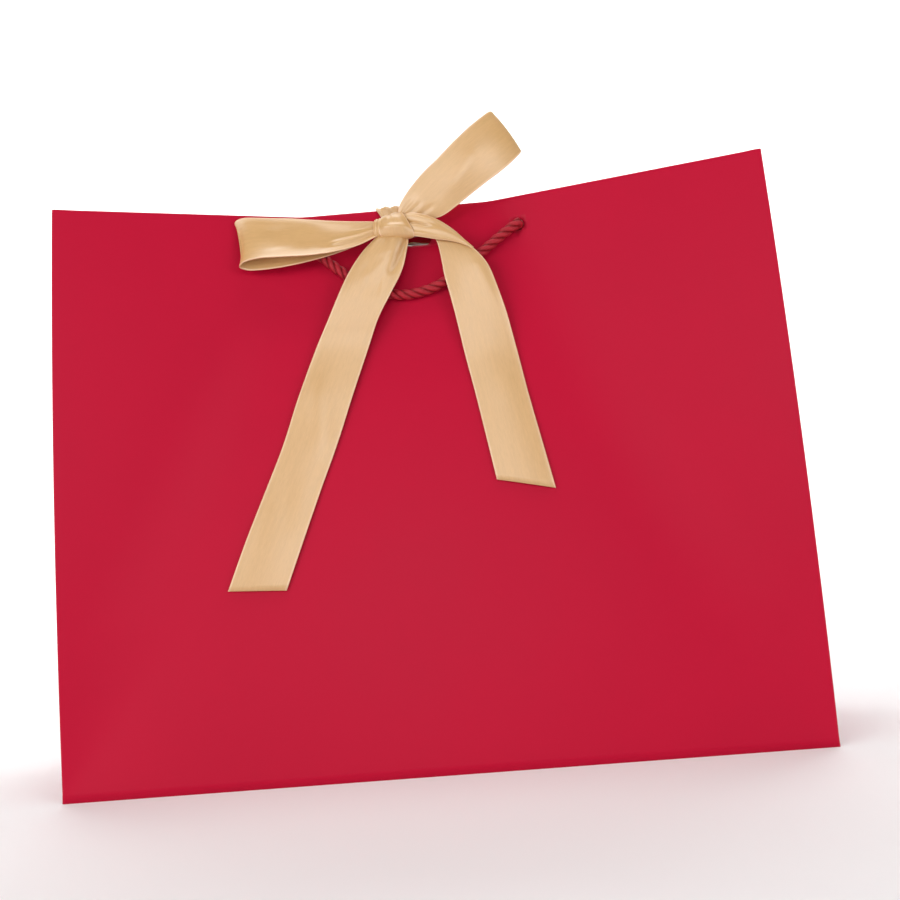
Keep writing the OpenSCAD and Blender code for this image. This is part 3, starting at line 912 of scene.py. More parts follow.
@dataclass
class PaperBag:
    """One sheet of paper that runs round the front, gussets and back and turns in at the top."""

    form: BagForm
    paper_t: float = 0.35
    fold_panel: float = 1.66
    fold_gusset: float = 0.85
    hem: float = 38.0
    crease_r: float = 1.3
    hole_d: float = 6.0
    hole_gap: float = 106.0
    slot_l: float = 20.0
    slot_h: float = 5.0
    fillet: int = 5
    foot_rows: int = 12
    _rows: list[tuple[str, float]] = field(default_factory=list)

    def __post_init__(self) -> None:
        """Works out the rows and columns of the sheet's net."""
        low = np.linspace(0, self.form.half_d, 13)
        high = np.linspace(self.form.half_d, self.form.length - 2, 56)[1:]
        self._rows = [("face", v) for v in [*low, *high]]
        self._rows += [("fold", a) for a in np.linspace(0, math.pi, 7)]
        self._rows += [("hem", d) for d in (0.8, 2.5, *np.linspace(5, self.hem, 10))]
        edge = self.form.half_w - self.crease_r
        self._u = np.concatenate([
            np.linspace(-edge, -62, 32)[:-1], np.linspace(-62, -44, 10)[:-1], np.linspace(-44, 31, 26)[:-1],
            np.linspace(31, 60, 14)[:-1], np.linspace(60, edge, 33),
        ])
        self._d = np.concatenate([[self.crease_r], np.arange(1, 12) * self.form.half_d / 12,
                                  [self.form.half_d - self.crease_r]])

    def build(self, finishes: Wardrobe) -> bpy.types.Object:
        """Builds the sheet and dresses it.

        Args:
            finishes: The materials.

        Returns:
            The shell of the bag.
        """
        rings = [self._ring(row) for row in self._rows]
        count = len(rings[0][0])
        points = np.vstack([r[0] for r in rings])
        edges = np.concatenate([r[1] for r in rings])
        faces, points, edges = self._faces(count, points, edges)
        closed, all_faces, kinds = thicken(points, faces, self.paper_t)
        shell = make_object("bag_shell", closed, all_faces)
        for material in (finishes.red, finishes.white, finishes.cut):
            shell.data.materials.append(material)
        shell.data.polygons.foreach_set("material_index", kinds)
        set_float(shell, "edge", np.concatenate([edges, edges * 0.3]))
        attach(shell, "bag")
        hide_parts("front_panel", "back_panel", "front_hem", "back_hem", "left_hem", "right_hem")
        for side in ("left", "right"):
            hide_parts(*(f"{side}_gusset_{part}" for part in ("front", "back", "foot")))
        log.info("bag_shell: %d faces", len(all_faces))
        return shell

    def _level(self, row: tuple[str, float], fold: np.ndarray) -> tuple[np.ndarray, np.ndarray, np.ndarray]:
        """Height fraction, inward distance and turn-in share of a row, for a fold's thickness.

        Args:
            row: Stretch of rows, and the place in it.
            fold: Thickness of the turned-in top.

        Returns:
            The three values, per point.
        """
        kind, value = row
        radius = fold / 2
        start = self.form.length - radius
        if kind == "face":
            v, off = np.minimum(value, start), np.zeros_like(fold)
        elif kind == "fold":
            v, off = start + radius * math.sin(value), radius * (1 - math.cos(value))
        else:
            v, off = start - value, fold
        return v / self.form.length, off, off / fold

    def _panel_fold(self, u: np.ndarray) -> np.ndarray:
        """Thickness of the turned-in top, which is less beside the corners, where no board reaches."""
        inside = self.form.half_w - np.abs(u)
        return self.fold_gusset + (self.fold_panel - self.fold_gusset) * smooth((inside - 5) / 5)

    @staticmethod
    def _tuck(distance: np.ndarray, share: np.ndarray) -> np.ndarray:
        """Distance from a corner, drawn in as the paper turns in, so that two hems don't cross."""
        tucked = 3.2 + distance * (8 - 3.2) / 8
        return distance + np.where(distance < 8, (tucked - distance) * share, 0)

    def _relief(self, u: np.ndarray, t: np.ndarray) -> np.ndarray:
        """Slow waves of a large sheet of paper, none beside its creases, board and glued strips.

        Args:
            u: Distance across the flat paper.
            t: Height fraction up the paper.

        Returns:
            Inward distance, per point.
        """
        inner = smooth((self.form.half_w - np.abs(u) - 22) / 40) * smooth(t / 0.22) * smooth((0.83 - t) / 0.2)
        waves = 0.5 * np.sin(u / 41 + 1.3) * np.sin(t * 7.1 + 0.6) + 0.35 * np.sin(u / 23 - t * 5 + 2)
        return 0.55 * inner * waves

    def _front_points(self, row: tuple[str, float], u: np.ndarray) -> np.ndarray:
        """Outer points of the front wall along a row.

        Args:
            row: Stretch of rows, and the place in it.
            u: Distances across the flat paper.

        Returns:
            The points, one row each.
        """
        fold = self._panel_fold(u)
        t, off, share = self._level(row, fold)
        moved = np.sign(u) * (self.form.half_w - self._tuck(self.form.half_w - np.abs(u), share))
        off = off + self._relief(u, t)
        return self.form.panel(moved, t, off)

    def _gusset_points(self, row: tuple[str, float], d: np.ndarray, s: int) -> np.ndarray:
        """Outer points of the front half of a gusset along a row.

        Args:
            row: Stretch of rows, and the place in it.
            d: Distances from the corner crease.
            s: Side, -1 left or 1 right.

        Returns:
            The points, one row each.
        """
        fold = np.full(d.shape, self.fold_gusset)
        t, off, share = self._level(row, fold)
        return self.form.gusset(self._tuck(d, share), t, off, s)

    def _ring(self, row: tuple[str, float]) -> tuple[np.ndarray, np.ndarray]:
        """All points round the bag along a row, with each point's nearness to a crease.

        Args:
            row: Stretch of rows, and the place in it.

        Returns:
            The points, and a value from 0 to 1 for each.
        """
        ends_u = np.array([-self.form.half_w, self.form.half_w])
        ends_d = np.array([0.0, self.form.half_d])
        flip = np.array([1.0, -1.0, 1.0])
        front, front_ends = self._front_points(row, self._u), self._front_points(row, ends_u)
        right, right_ends = (self._gusset_points(row, d, 1) for d in (self._d, ends_d))
        left, left_ends = (self._gusset_points(row, d, -1) for d in (self._d, ends_d))
        walls = [
            (front, front_ends), (right, right_ends), (right[::-1] * flip, right_ends[::-1] * flip),
            (front[::-1] * flip, front_ends[::-1] * flip), (left * flip, left_ends * flip),
            (left[::-1], left_ends[::-1]),
        ]
        points, near = [], []
        for i, (wall, ends) in enumerate(walls):
            following, following_ends = walls[(i + 1) % len(walls)]
            corner = (ends[1] + following_ends[0]) / 2
            tau = np.linspace(0, 1, self.fillet + 2)[1:-1, None]
            fillet = (1 - tau) ** 2 * wall[-1] + 2 * tau * (1 - tau) * corner + tau**2 * following[0]
            points += [wall, fillet]
            near += [np.zeros(len(wall)), 1 - np.abs(2 * tau[:, 0] - 1)]
        worn = np.concatenate(near)
        if row[0] == "fold":
            worn = np.maximum(worn, math.sin(row[1]) ** 2)
        return np.vstack(points), worn

    def _cuts(self) -> list[Cut]:
        """The rope holes and the ribbon slot of one panel, in flat paper.

        Returns:
            The cuts.
        """
        slot_u, slot_v = self.form.flat_place(0.0, self.form.mid_z - self.form.slot_drop)
        cuts = [Cut(slot_u, slot_v, (self.slot_l - self.slot_h) / 2, self.slot_h / 2)]
        for s in (-1, 1):
            u, v = self.form.flat_place(s * self.hole_gap / 2, self.form.hole_z)
            cuts.append(Cut(u, v, 0.0, self.hole_d / 2))
        return cuts

    def _faces(
        self, count: int, points: np.ndarray, edges: np.ndarray
    ) -> tuple[list[tuple[int, ...]], np.ndarray, np.ndarray]:
        """Faces of the net, with the foot's slanting creases and the cuts worked in.

        Args:
            count: Points in a ring.
            points: Points of all the rings.
            edges: Nearness to a crease of each point.

        Returns:
            The faces, and the points and values with those of the cuts added.
        """
        skipped: set[tuple[int, int]] = set()
        extra_faces: list[tuple[int, ...]] = []
        back_start = len(self._u) + 3 * self.fillet + 2 * len(self._d)
        for side, first in ((Side.FRONT, 0), (Side.BACK, back_start)):
            for kind in ("face", "hem"):
                for cut in self._cuts():
                    faces, new = self._punch(cut, kind, side, first, count, skipped, len(points))
                    extra_faces += faces
                    points = np.vstack([points, new])
                    edges = np.concatenate([edges, np.ones(len(new))])
        slants = self._slant_columns(count)
        faces = []
        for r in range(len(self._rows) - 1):
            for c in range(count):
                if (r, c) in skipped:
                    continue
                a, b = r * count + c, r * count + (c + 1) % count
                d, e = a + count, b + count
                if r < self.foot_rows and c in slants:
                    rising = slants[c]
                    faces += [(a, b, e), (a, e, d)] if rising else [(a, b, d), (b, e, d)]
                else:
                    faces.append((a, b, e, d))
        return faces + extra_faces, points, edges

    def _slant_columns(self, count: int) -> dict[int, bool]:
        """Columns of the gussets, and whether the foot's crease rises along them.

        Args:
            count: Points in a ring.

        Returns:
            True or False by column.
        """
        fillet, nu, nd = self.fillet, len(self._u), len(self._d)
        right_front = nu + fillet
        right_back = right_front + nd + fillet
        left_back = 2 * nu + 4 * fillet + 2 * nd
        left_front = left_back + nd + fillet
        columns = {}
        for start, rising in ((right_front, True), (right_back, False), (left_back, True), (left_front, False)):
            for c in range(start - 1, start + nd):
                columns[c % count] = rising
        return columns

    def _punch(
        self, cut: Cut, kind: str, side: Side, first: int, count: int, skipped: set[tuple[int, int]], base: int
    ) -> tuple[list[tuple[int, ...]], np.ndarray]:
        """Works one cut into the net of a panel's face or of its hem.

        Args:
            cut: The cut, in flat paper.
            kind: Which stretch of rows, "face" or "hem".
            side: Front or back panel.
            first: The panel's first column in a ring.
            count: Columns in a ring.
            skipped: Net cells that the cut takes out, which this adds to.
            base: Index of the first new point.

        Returns:
            New faces and new points.
        """
        start = self.form.length - self.fold_panel / 2
        flat_v = {r: (v if kind == "face" else start - v) for r, (k, v) in enumerate(self._rows) if k == kind}
        margin = 2.6
        rows = sorted(flat_v, key=lambda r: flat_v[r])
        low = max(i for i, r in enumerate(rows) if flat_v[r] < cut.v - cut.radius - margin)
        high = min(i for i, r in enumerate(rows) if flat_v[r] > cut.v + cut.radius + margin)
        rows = sorted(rows[low : high + 1])
        reach = cut.half_length + cut.radius + margin
        left = max(i for i, u in enumerate(self._u) if u < cut.u - reach)
        right = min(i for i, u in enumerate(self._u) if u > cut.u + reach)
        columns = range(left, right + 1)
        grid_u, grid_v, ids = [], [], []
        for r in rows:
            for c in columns:
                if cut.distance(self._u[c], flat_v[r]) > 0.8:
                    ring_c = first + (c if side is Side.FRONT else len(self._u) - 1 - c)
                    grid_u.append(self._u[c])
                    grid_v.append(flat_v[r])
                    ids.append(r * count + ring_c)
        for r in rows[:-1]:
            for c in columns[:-1]:
                ring_c = first + (c if side is Side.FRONT else len(self._u) - 2 - c)
                skipped.add((r, ring_c))
        outline = cut.outline()
        flat = [Vector(p) for p in zip(grid_u, grid_v)] + [Vector(p) for p in outline]
        rim = [(len(ids) + i, len(ids) + (i + 1) % len(outline)) for i in range(len(outline))]
        places, _, triangles, origins, _, _ = delaunay_2d_cdt(flat, rim, [], 0, 1e-6)
        own = ids + [base + i for i in range(len(outline))]
        faces = []
        outward = (kind == "face") == (side is Side.FRONT)
        for triangle in triangles:
            centre = sum((places[i] for i in triangle), Vector((0, 0))) / 3
            if cut.distance(centre.x, centre.y) < 0:
                continue
            corners = [own[origins[i][0]] for i in triangle]
            faces.append(tuple(corners if outward else reversed(corners)))
        new = [self._cut_point(u, v, kind) for u, v in outline]
        points = np.array(new) * (1.0, 1.0 if side is Side.FRONT else -1.0, 1.0)
        return faces, points

    def _cut_point(self, u: float, v: float, kind: str) -> np.ndarray:
        """Outer point of the front wall, or of its hem, at a flat place."""
        value = v if kind == "face" else self.form.length - self.fold_panel / 2 - v
        return self._front_points((kind, value), np.array([u]))[0]


@dataclass
class InnerPaper:
    """What is glued or laid inside: the base's flaps, the corner strips and the boards."""

    form: BagForm
    paper_t: float = 0.35
    step: float = 0.43
    flap_inset: float = 1.0
    mitre: float = 20.0
    overlap: float = 12.0
    strip_w: float = 16.0
    strip_inset: float = 3.0

    def build(self, finishes: Wardrobe) -> None:
        """Builds the flaps and strips, and gives the boards their card.

        Args:
            finishes: The materials.
        """
        half_w, half_d = self.form.half_w, self.form.half_d
        x0, y0 = half_w - self.flap_inset, self.step - half_d
        for name, side, layer in (("front", Side.FRONT, 0), ("back", Side.BACK, 1)):
            outline = [(-x0, y0), (x0, y0), (x0 - self.mitre, y0 + self.mitre), (x0 - self.mitre, self.overlap),
                       (self.mitre - x0, self.overlap), (self.mitre - x0, y0 + self.mitre)]
            flip = 1 if side is Side.FRONT else -1
            self._flap(f"base_{name}_flap", [(x, y * flip) for x, y in outline], layer, finishes)
        x1, y1, depth = x0 - 0.6, half_d - 1.6, half_d - 6
        y2 = y1 - depth + 4
        for name, s in (("left", -1), ("right", 1)):
            outline = [(s * x1, -y1), (s * x1, y1), (s * (x1 - depth), y2), (s * (x1 - depth), -y2)]
            self._flap(f"base_{name}_flap", outline, 2, finishes)
        self._strip("right_glue_flap", 1, Side.FRONT, finishes)
        self._strip("left_glue_flap", -1, Side.BACK, finishes)
        for node in ("base_board", "front_top_board", "back_top_board"):
            for place in frame["nodes"][node].material_slots:
                place.material = finishes.card
            log.info("%s: %s", node, finishes.card.name)

    def _flap(self, node: str, outline: list[tuple[float, float]], layer: int, finishes: Wardrobe) -> None:
        """One flat flap of the base, printed below and white above.

        Args:
            node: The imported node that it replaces.
            outline: Its corners.
            layer: Number of flaps below it.
            finishes: The materials.
        """
        area = sum(a[0] * b[1] - b[0] * a[1] for a, b in zip(outline, outline[1:] + outline[:1]))
        if area < 0:
            outline = outline[::-1]
        low = layer * self.step
        n = len(outline)
        points = np.array([(x, y, low) for x, y in outline] + [(x, y, low + self.paper_t) for x, y in outline])
        faces = [tuple(reversed(range(n))), tuple(range(n, 2 * n))]
        faces += [(k, (k + 1) % n, (k + 1) % n + n, k + n) for k in range(n)]
        self._dress(f"{node}_paper", node, points, faces, [0, 1] + [2] * n, finishes, False)

    def _strip(self, node: str, s: int, side: Side, finishes: Wardrobe) -> None:
        """One glued strip that follows the panel's inner face beside a corner.

        Args:
            node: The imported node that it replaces.
            s: Side, -1 left or 1 right.
            side: The panel that it is glued to.
            finishes: The materials.
        """
        edge = s * (self.form.half_w - self.strip_inset)
        u = np.linspace(edge - s * self.strip_w, edge, 6)
        t = np.linspace(0.2, 0.83, 34)
        across, along = np.meshgrid(u, t)
        off = self.step + 4 * np.maximum(0.35 - along, 0)
        points = self.form.panel(across, along, off).reshape(-1, 3) * (1.0, -side.value, 1.0)
        m = len(u)
        faces = [(i * m + k, i * m + k + 1, (i + 1) * m + k + 1, (i + 1) * m + k)
                 for i in range(len(t) - 1) for k in range(m - 1)]
        if s * side.value > 0:
            faces = [f[::-1] for f in faces]
        closed, all_faces, kinds = thicken(points, faces, self.paper_t)
        self._dress(f"{node}_paper", node, closed, all_faces, kinds, finishes, True)

    @staticmethod
    def _dress(name: str, node: str, points: np.ndarray, faces: list[tuple[int, ...]], kinds: list[int],
               finishes: Wardrobe, soft: bool) -> None:
        """Makes one piece of paper: printed face, white face and cut edges.

        Args:
            name: Name of the piece.
            node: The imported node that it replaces.
            points: Its points.
            faces: Its faces.
            kinds: Material number of each face.
            finishes: The materials.
            soft: Whether it is shaded smooth.
        """
        piece = make_object(name, points, faces)
        for material in (finishes.red, finishes.white, finishes.cut):
            piece.data.materials.append(material)
        piece.data.polygons.foreach_set("material_index", kinds)
        piece.data.polygons.foreach_set("use_smooth", [soft] * len(piece.data.polygons))
        set_float(piece, "edge", np.zeros(len(points)))
        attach(piece, "bag")
        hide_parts(node)
        log.info("%s: %d faces", name, len(faces))


# ---------------------------------------------------------------- rope handles


@dataclass
class TwistedRope:
    """Three strands laid round each other along a path."""

    diameter: float = 5.2
    pitch: float = 14.4
    sides: int = 14
    step: float = 0.7
    strand_share: float = 0.272

    def mesh(self, name: str, path: np.ndarray, squeeze: float = 1.0) -> bpy.types.Object:
        """Builds the strands.

        Args:
            name: Name of the piece.
            path: Points that the rope follows.
            squeeze: Share of the full diameter, for rope that is drawn tight.

        Returns:
            The rope, one mesh of three closed strands.
        """
        line = evenly(path, self.step)
        tangent = unit(np.gradient(line, axis=0))
        across = self._transport(tangent)
        over = np.cross(tangent, across)
        places = np.arange(len(line)) * self.step
        strand_r = self.diameter * self.strand_share * squeeze
        helix_r = self.diameter / 2 * squeeze - strand_r
        points, faces, strip, groove_shade = [], [], [], []
        for strand in range(3):
            turn = 2 * math.pi * (strand / 3 + places / self.pitch)
            outward = np.cos(turn)[:, None] * across + np.sin(turn)[:, None] * over
            centre = line + outward * helix_r
            own = unit(np.gradient(centre, axis=0))
            e1 = unit(outward - (outward * own).sum(1, keepdims=True) * own)
            e2 = np.cross(own, e1)
            first = len(points) * len(line) * self.sides
            ring = []
            for k in range(self.sides):
                a = 2 * math.pi * k / self.sides
                ring.append(centre + strand_r * (math.cos(a) * e1 + math.sin(a) * e2))
            points.append(np.stack(ring, 1).reshape(-1, 3))
            faces += self._tube_faces(len(line), first)
            angles = np.arange(self.sides) / self.sides
            twist = np.add.outer(places * 0.9, angles * strand_r * 2 * math.pi)
            strip.append(np.stack([twist, np.repeat(places[:, None], self.sides, 1)], -1).reshape(-1, 2) * MM)
            # Painted shade mask: 0 on the crest of each strand, rising to 1 on its sides and on the face towards the
            # rope's middle, where the strands shade each other.
            inward = 0.5 - 0.5 * np.cos(2 * math.pi * angles)
            groove_shade.append(np.tile(smooth((inward - 0.1) / 0.22), len(line)))
        rope = make_object(name, np.vstack(points), faces)
        set_uv(rope, np.vstack(strip))
        set_float(rope, "groove_shade", np.concatenate(groove_shade))
        return rope

    def _tube_faces(self, rings: int, first: int) -> list[tuple[int, ...]]:
        """Faces of one closed tube.

        Args:
            rings: Rings along the tube.
            first: Index of its first point.

        Returns:
            The faces, with both ends closed.
        """
        n = self.sides
        faces: list[tuple[int, ...]] = [tuple(first + k for k in reversed(range(n)))]
        for i in range(rings - 1):
            for k in range(n):
                a, b = first + i * n + k, first + i * n + (k + 1) % n
                faces.append((a, b, b + n, a + n))
        faces.append(tuple(first + (rings - 1) * n + k for k in range(n)))
        return faces

    @staticmethod
    def _transport(tangent: np.ndarray) -> np.ndarray:
        """Unit vectors across a path that don't spin about it.

        Args:
            tangent: Unit vectors along the path.

        Returns:
            One vector per point.
        """
        guide = np.array([0.0, 1.0, 0.0]) if abs(tangent[0][1]) < 0.9 else np.array([1.0, 0.0, 0.0])
        current = unit(np.cross(tangent[0], guide))
        rows = []
        for t in tangent:
            current = unit(current - t * (t @ current))
            rows.append(current)
        return np.array(rows)


@dataclass
class RopeHandle:
    """One handle: the loop outside, and two ends with stopper knots inside."""

    form: BagForm
    side: Side
    rope: TwistedRope = field(default_factory=TwistedRope)
    hole_x: float = 53.0
    axis_y: float = -12.6
    inner_y: float = -4.1
    knot_drops: dict[Side, float] = field(default_factory=lambda: {Side.FRONT: 15.0, Side.BACK: 32.0})
    # Route of the loop from hole to hole: x, drop below the holes, distance out from the axis.
    route: tuple[Point, ...] = (
        (53, 0, 0), (49, 2.5, -0.4), (44, 6, -0.9), (38, 10.5, -1.2), (31.5, 15.5, -1.7), (25, 20.5, -2.2),
        (18, 25, -2.7), (11, 28.5, -3.1), (3.5, 30.7, -3.4), (-4, 31.5, -3.5), (-11.5, 30.5, -3.4),
        (-19, 27.8, -3.1), (-26, 23.8, -2.7), (-32.5, 19, -2.2), (-38.5, 13.8, -1.6), (-44, 8.8, -1.1),
        (-49, 4.2, -0.6), (-53, 0, 0),
    )

    @property
    def name(self) -> str:
        """The handle's name on its side."""
        return "front" if self.side is Side.FRONT else "back"

    def _to_side(self, points: np.ndarray) -> np.ndarray:
        """Points of the front handle, turned to this handle's side."""
        return points * (1.0, 1.0 if self.side is Side.FRONT else -1.0, 1.0)

    def loop_path(self) -> np.ndarray:
        """The loop's own line, through both holes.

        Returns:
            Points of the line.
        """
        hole_z = self.form.hole_z
        points = [(x, self.axis_y + out, hole_z - drop) for x, drop, out in self.route]
        inside = [(self.hole_x, self.axis_y + back, hole_z) for back in (5.4, 2.4)]
        mirrored = [(-x, y, z) for x, y, z in reversed(inside)]
        return self._to_side(spline(np.array(inside + points + mirrored, float), 6))

    def build(self, finishes: Wardrobe) -> None:
        """Args:
            finishes: The materials.
        """
        path = self.loop_path()
        loop = self.rope.mesh(f"{self.name}_rope_twist", path)
        loop.data.materials.append(finishes.rope)
        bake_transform(loop)
        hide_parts(f"{self.name}_rope")
        log.info("%s: %.0f mm of rope", loop.name, path_length(path))
        for s, word in ((-1, "left"), (1, "right")):
            self._end(s, word, finishes)

    def _end(self, s: int, word: str, finishes: Wardrobe) -> None:
        """One end inside the bag: down from its hole, then wound round itself.

        Args:
            s: Side, -1 left or 1 right.
            word: The same side as a word.
            finishes: The materials.
        """
        x, z, y = s * self.hole_x, self.form.hole_z, self.inner_y
        drop = self.knot_drops[self.side]
        top, low = z - drop + 4.2, z - drop - 4.2
        path = [(x, y - 3.6, z), (x, y - 1.6, z - 0.2), (x, y, z - 2.2), (x, y + 0.1, (z + top) / 2 - 1), (x, y, top)]
        wrap_r = 2.7
        for k in range(15):
            a = 2 * math.pi * k / 8
            path.append((x + s * wrap_r * math.sin(a), y - 0.75 * wrap_r * math.sin(a + 0.6) * math.cos(a),
                         top - (top - low) * k / 14))
        path += [(x, y, low - 2.5), (x + 0.4 * s, y, low - 6)]
        line = spline(np.array(path, float), 6)
        end = self.rope.mesh(f"{self.name}_rope_{word}_knot", self._to_side(line), squeeze=0.8)
        end.data.materials.append(finishes.rope)
        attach(end, "bag")
        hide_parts(f"{self.name}_rope_{word}_end")
        log.info("%s: knot %.0f mm below its hole", end.name, drop)


# ---------------------------------------------------------------- ribbon


@dataclass
class Fold:
    """A soft ridge or hollow along a straight line of the ribbon."""

    start: tuple[float, float]
    end: tuple[float, float]
    height: float
    width: float

    def lift(self, across: np.ndarray, along: np.ndarray, size: tuple[float, float]) -> np.ndarray:
        """Height of the fold at places given as shares across and along the ribbon.

        Args:
            across: Shares across.
            along: Shares along.
            size: Width and length of the ribbon.

        Returns:
            The height at each place.
        """
        scale = np.array(size)
        a, b = np.array(self.start) * scale, np.array(self.end) * scale
        p = np.stack([across, along], -1) * scale
        line = b - a
        t = np.clip(((p - a) @ line) / (line @ line), 0, 1)
        gap = np.linalg.norm(p - a - t[..., None] * line, axis=-1)
        fade = np.minimum(1, 4 * np.minimum(t + 0.12, 1.12 - t))
        return self.height * np.exp(-((gap / self.width) ** 2)) * fade


@dataclass
class RibbonStrip:
    """A stretch of ribbon through stations: left edge point, right edge point and crown."""

    name: str
    stations: list[tuple[Point, Point, float]]
    folds: list[Fold] = field(default_factory=list)
    thickness: float = 0.32
    steps: int = 8
    flat_width: float = 25.0

    def mesh(self, finishes: Wardrobe) -> bpy.types.Object:
        """Builds the strip with its crown, folds and selvedges.

        Args:
            finishes: The materials.

        Returns:
            The strip.
        """
        rows = spline(np.array([[*a, *b, crown] for a, b, crown in self.stations], float), self.steps)
        left, right, crown = rows[:, 0:3], rows[:, 3:6], rows[:, 6]
        middle = (left + right) / 2
        lengths = np.concatenate([[0], np.cumsum(np.linalg.norm(np.diff(middle, axis=0), axis=1))])
        self.length = float(lengths[-1])
        share = lengths / lengths[-1]
        k = np.concatenate([[0, 0.012, 0.03], np.linspace(0.06, 0.94, 25), [0.97, 0.988, 1]])
        across, along = np.meshgrid(k, share)
        points = left[:, None] * (1 - k[None, :, None]) + right[:, None] * k[None, :, None]
        facing = unit(np.cross(np.gradient(middle, axis=0), right - left))
        lift = crown[:, None] * 4 * across * (1 - across)
        for fold in self.folds:
            lift = lift + fold.lift(across, along, (self.flat_width, self.length))
        points = points + facing[:, None] * lift[..., None]
        n, m = points.shape[:2]
        faces = [
            (i * m + j, (i + 1) * m + j, (i + 1) * m + j + 1, i * m + j + 1)
            for i in range(n - 1) for j in range(m - 1)
        ]
        edge = np.minimum(across, 1 - across) * self.flat_width
        thick = self.thickness * (1 + 0.7 * np.exp(-((edge - 0.45) / 0.4) ** 2))
        closed, all_faces, _ = thicken(points.reshape(-1, 3), faces, thick.ravel(), centred=True)
        strip = make_object(self.name, closed, all_faces)
        uv = np.stack([across * self.flat_width, along * self.length], -1).reshape(-1, 2) * MM
        set_uv(strip, np.vstack([uv, uv]))
        strip.data.materials.append(finishes.satin)
        log.info("%s: %.0f mm of ribbon", self.name, self.length)
        return strip


@dataclass
class RibbonBow:
    """The ribbon: a band over the top edge, the knot, two loops and two tails."""

    form: BagForm
    ribbon_w: float = 25.0

    def build(self, finishes: Wardrobe) -> None:
        """Builds every stretch of the ribbon.

        Args:
            finishes: The materials.
        """
        self._left_tail(finishes)
        self._right_tail(finishes)
        self._left_loop(finishes)
        self._right_loop(finishes)
        self._band(finishes)
        self._knot(finishes)

    def _lying(self, x_left: float, x_right: float, z_left: float, z_right: float, lift: float, crown: float
               ) -> tuple[Point, Point, float]:
        """A station that lies just off the front panel.

        Args:
            x_left: X of the left edge.
            x_right: X of the right edge.
            z_left: Height of the left edge.
            z_right: Height of the right edge.
            lift: Gap to the middle of the panel.
            crown: Rise of the middle of the ribbon.

        Returns:
            Left edge point, right edge point and crown.
        """
        return ((x_left, self.form.face_y(z_left) - lift, z_left),
                (x_right, self.form.face_y(z_right) - lift, z_right), crown)

    def _left_tail(self, finishes: Wardrobe) -> None:
        """The long tail, down to the left over the rope, with a level cut.

        Args:
            finishes: The materials.
        """
        maker = RibbonStrip("left_tail_ribbon", [
            ((-13.5, -15, 254), (-5, -15, 253), 0.5), ((-16.4, -17.2, 249.4), (-1.0, -17.4, 248.0), 1.4),
            ((-23.4, -18.6, 242.3), (-2.0, -18.6, 240.8), 1.8), ((-30.2, -19.9, 233), (-4.9, -19.9, 231.4), 1.2),
            ((-35.8, -20.9, 222.7), (-10.8, -21, 221), 0.3), ((-42.3, -20.9, 209.6), (-17.7, -20.9, 209.4), -0.2),
            ((-49, -20.4, 196.4), (-23.4, -20.2, 196), 0.2),
            self._lying(-58.5, -32.4, 173.5, 173, 2.2, 0.6), self._lying(-66.7, -40.6, 151.3, 151.2, 1.4, 0.5),
            self._lying(-76.2, -49.8, 129.5, 129, 1.3, 0.5), self._lying(-85.5, -58.3, 108.1, 107.6, 1.5, 0.7),
            self._lying(-94.3, -67.4, 86.2, 84.6, 1.3, 0.4),
        ], [
            Fold((0.95, 0.02), (0.84, 0.13), -1.5, 1.4), Fold((0.62, 0.03), (0.7, 0.09), 1.3, 5.5),
            Fold((0.4, 0.03), (0.28, 0.14), -0.4, 3.4), Fold((0.4, 0.18), (0.75, 0.17), -0.45, 6.5),
            Fold((0.3, 0.45), (0.75, 0.62), 0.5, 5.0), Fold((0.25, 0.7), (0.7, 0.85), -0.3, 5.0),
        ])
        tail = maker.mesh(finishes)
        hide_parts("left_tail")
        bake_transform(tail)

    def _right_tail(self, finishes: Wardrobe) -> None:
        """The short tail: its neck leaves the knot to the right and rolls over onto the falling part.

        Args:
            finishes: The materials.
        """
        neck_maker = RibbonStrip("right_tail_neck_ribbon", [
            ((-5, -15, 250.5), (-5, -14.2, 259.6), 0.8), ((2.3, -18.6, 248.2), (1.5, -17, 260.2), 1.2),
            ((8, -19.6, 246.6), (8.8, -18, 258), 1.6), ((13.4, -20, 245.2), (15.4, -18.9, 254.2), 1.6),
            ((19.5, -20.2, 243.9), (21.2, -19.4, 249.4), 1.2), ((25, -20.3, 242), (25.6, -20, 244.6), 0.6),
            ((30, -20.4, 239.1), (30.4, -20.3, 239.6), 0.1),
        ], [
            Fold((0.62, 0.0), (0.5, 0.4), -1.1, 1.6), Fold((0.84, 0.0), (0.8, 0.5), 0.7, 2.4),
            Fold((0.12, 0.1), (0.1, 0.8), 0.5, 1.8),
        ])
        neck = neck_maker.mesh(finishes)
        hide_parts("right_tail_neck")
        maker = RibbonStrip("right_tail_ribbon", [
            ((10.5, -17.3, 249), (19.2, -17.4, 249.4), 0.0), ((12.9, -17.9, 244.9), (26.2, -18.5, 243.9), 0.3),
            ((14, -18.4, 239.6), (31.2, -19.7, 238.6), 0.6), ((14.7, -18.8, 233.8), (34.7, -20.2, 234.2), 0.9),
            ((15.4, -19.2, 227.2), (37.3, -20.5, 229.2), 0.9), ((17.3, -19.7, 217.6), (40, -20.6, 220.6), 0.6),
            ((19.4, -20.2, 205.8), (43.4, -20.6, 207.6), 0.2), self._lying(22.2, 46.9, 188, 189, 2.0, 0.4),
            self._lying(25.5, 50.3, 169.4, 168, 1.4, 0.6), self._lying(28.6, 53.8, 150, 149, 1.3, 0.6),
            self._lying(32.1, 58.9, 127.6, 121.5, 1.3, 0.4),
        ], [Fold((0.75, 0.14), (0.85, 0.3), 0.3, 4.5), Fold((0.3, 0.5), (0.6, 0.7), 0.15, 7.0)])
        tail = maker.mesh(finishes)
        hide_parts("right_tail")
        for piece in (neck, tail):
            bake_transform(piece)

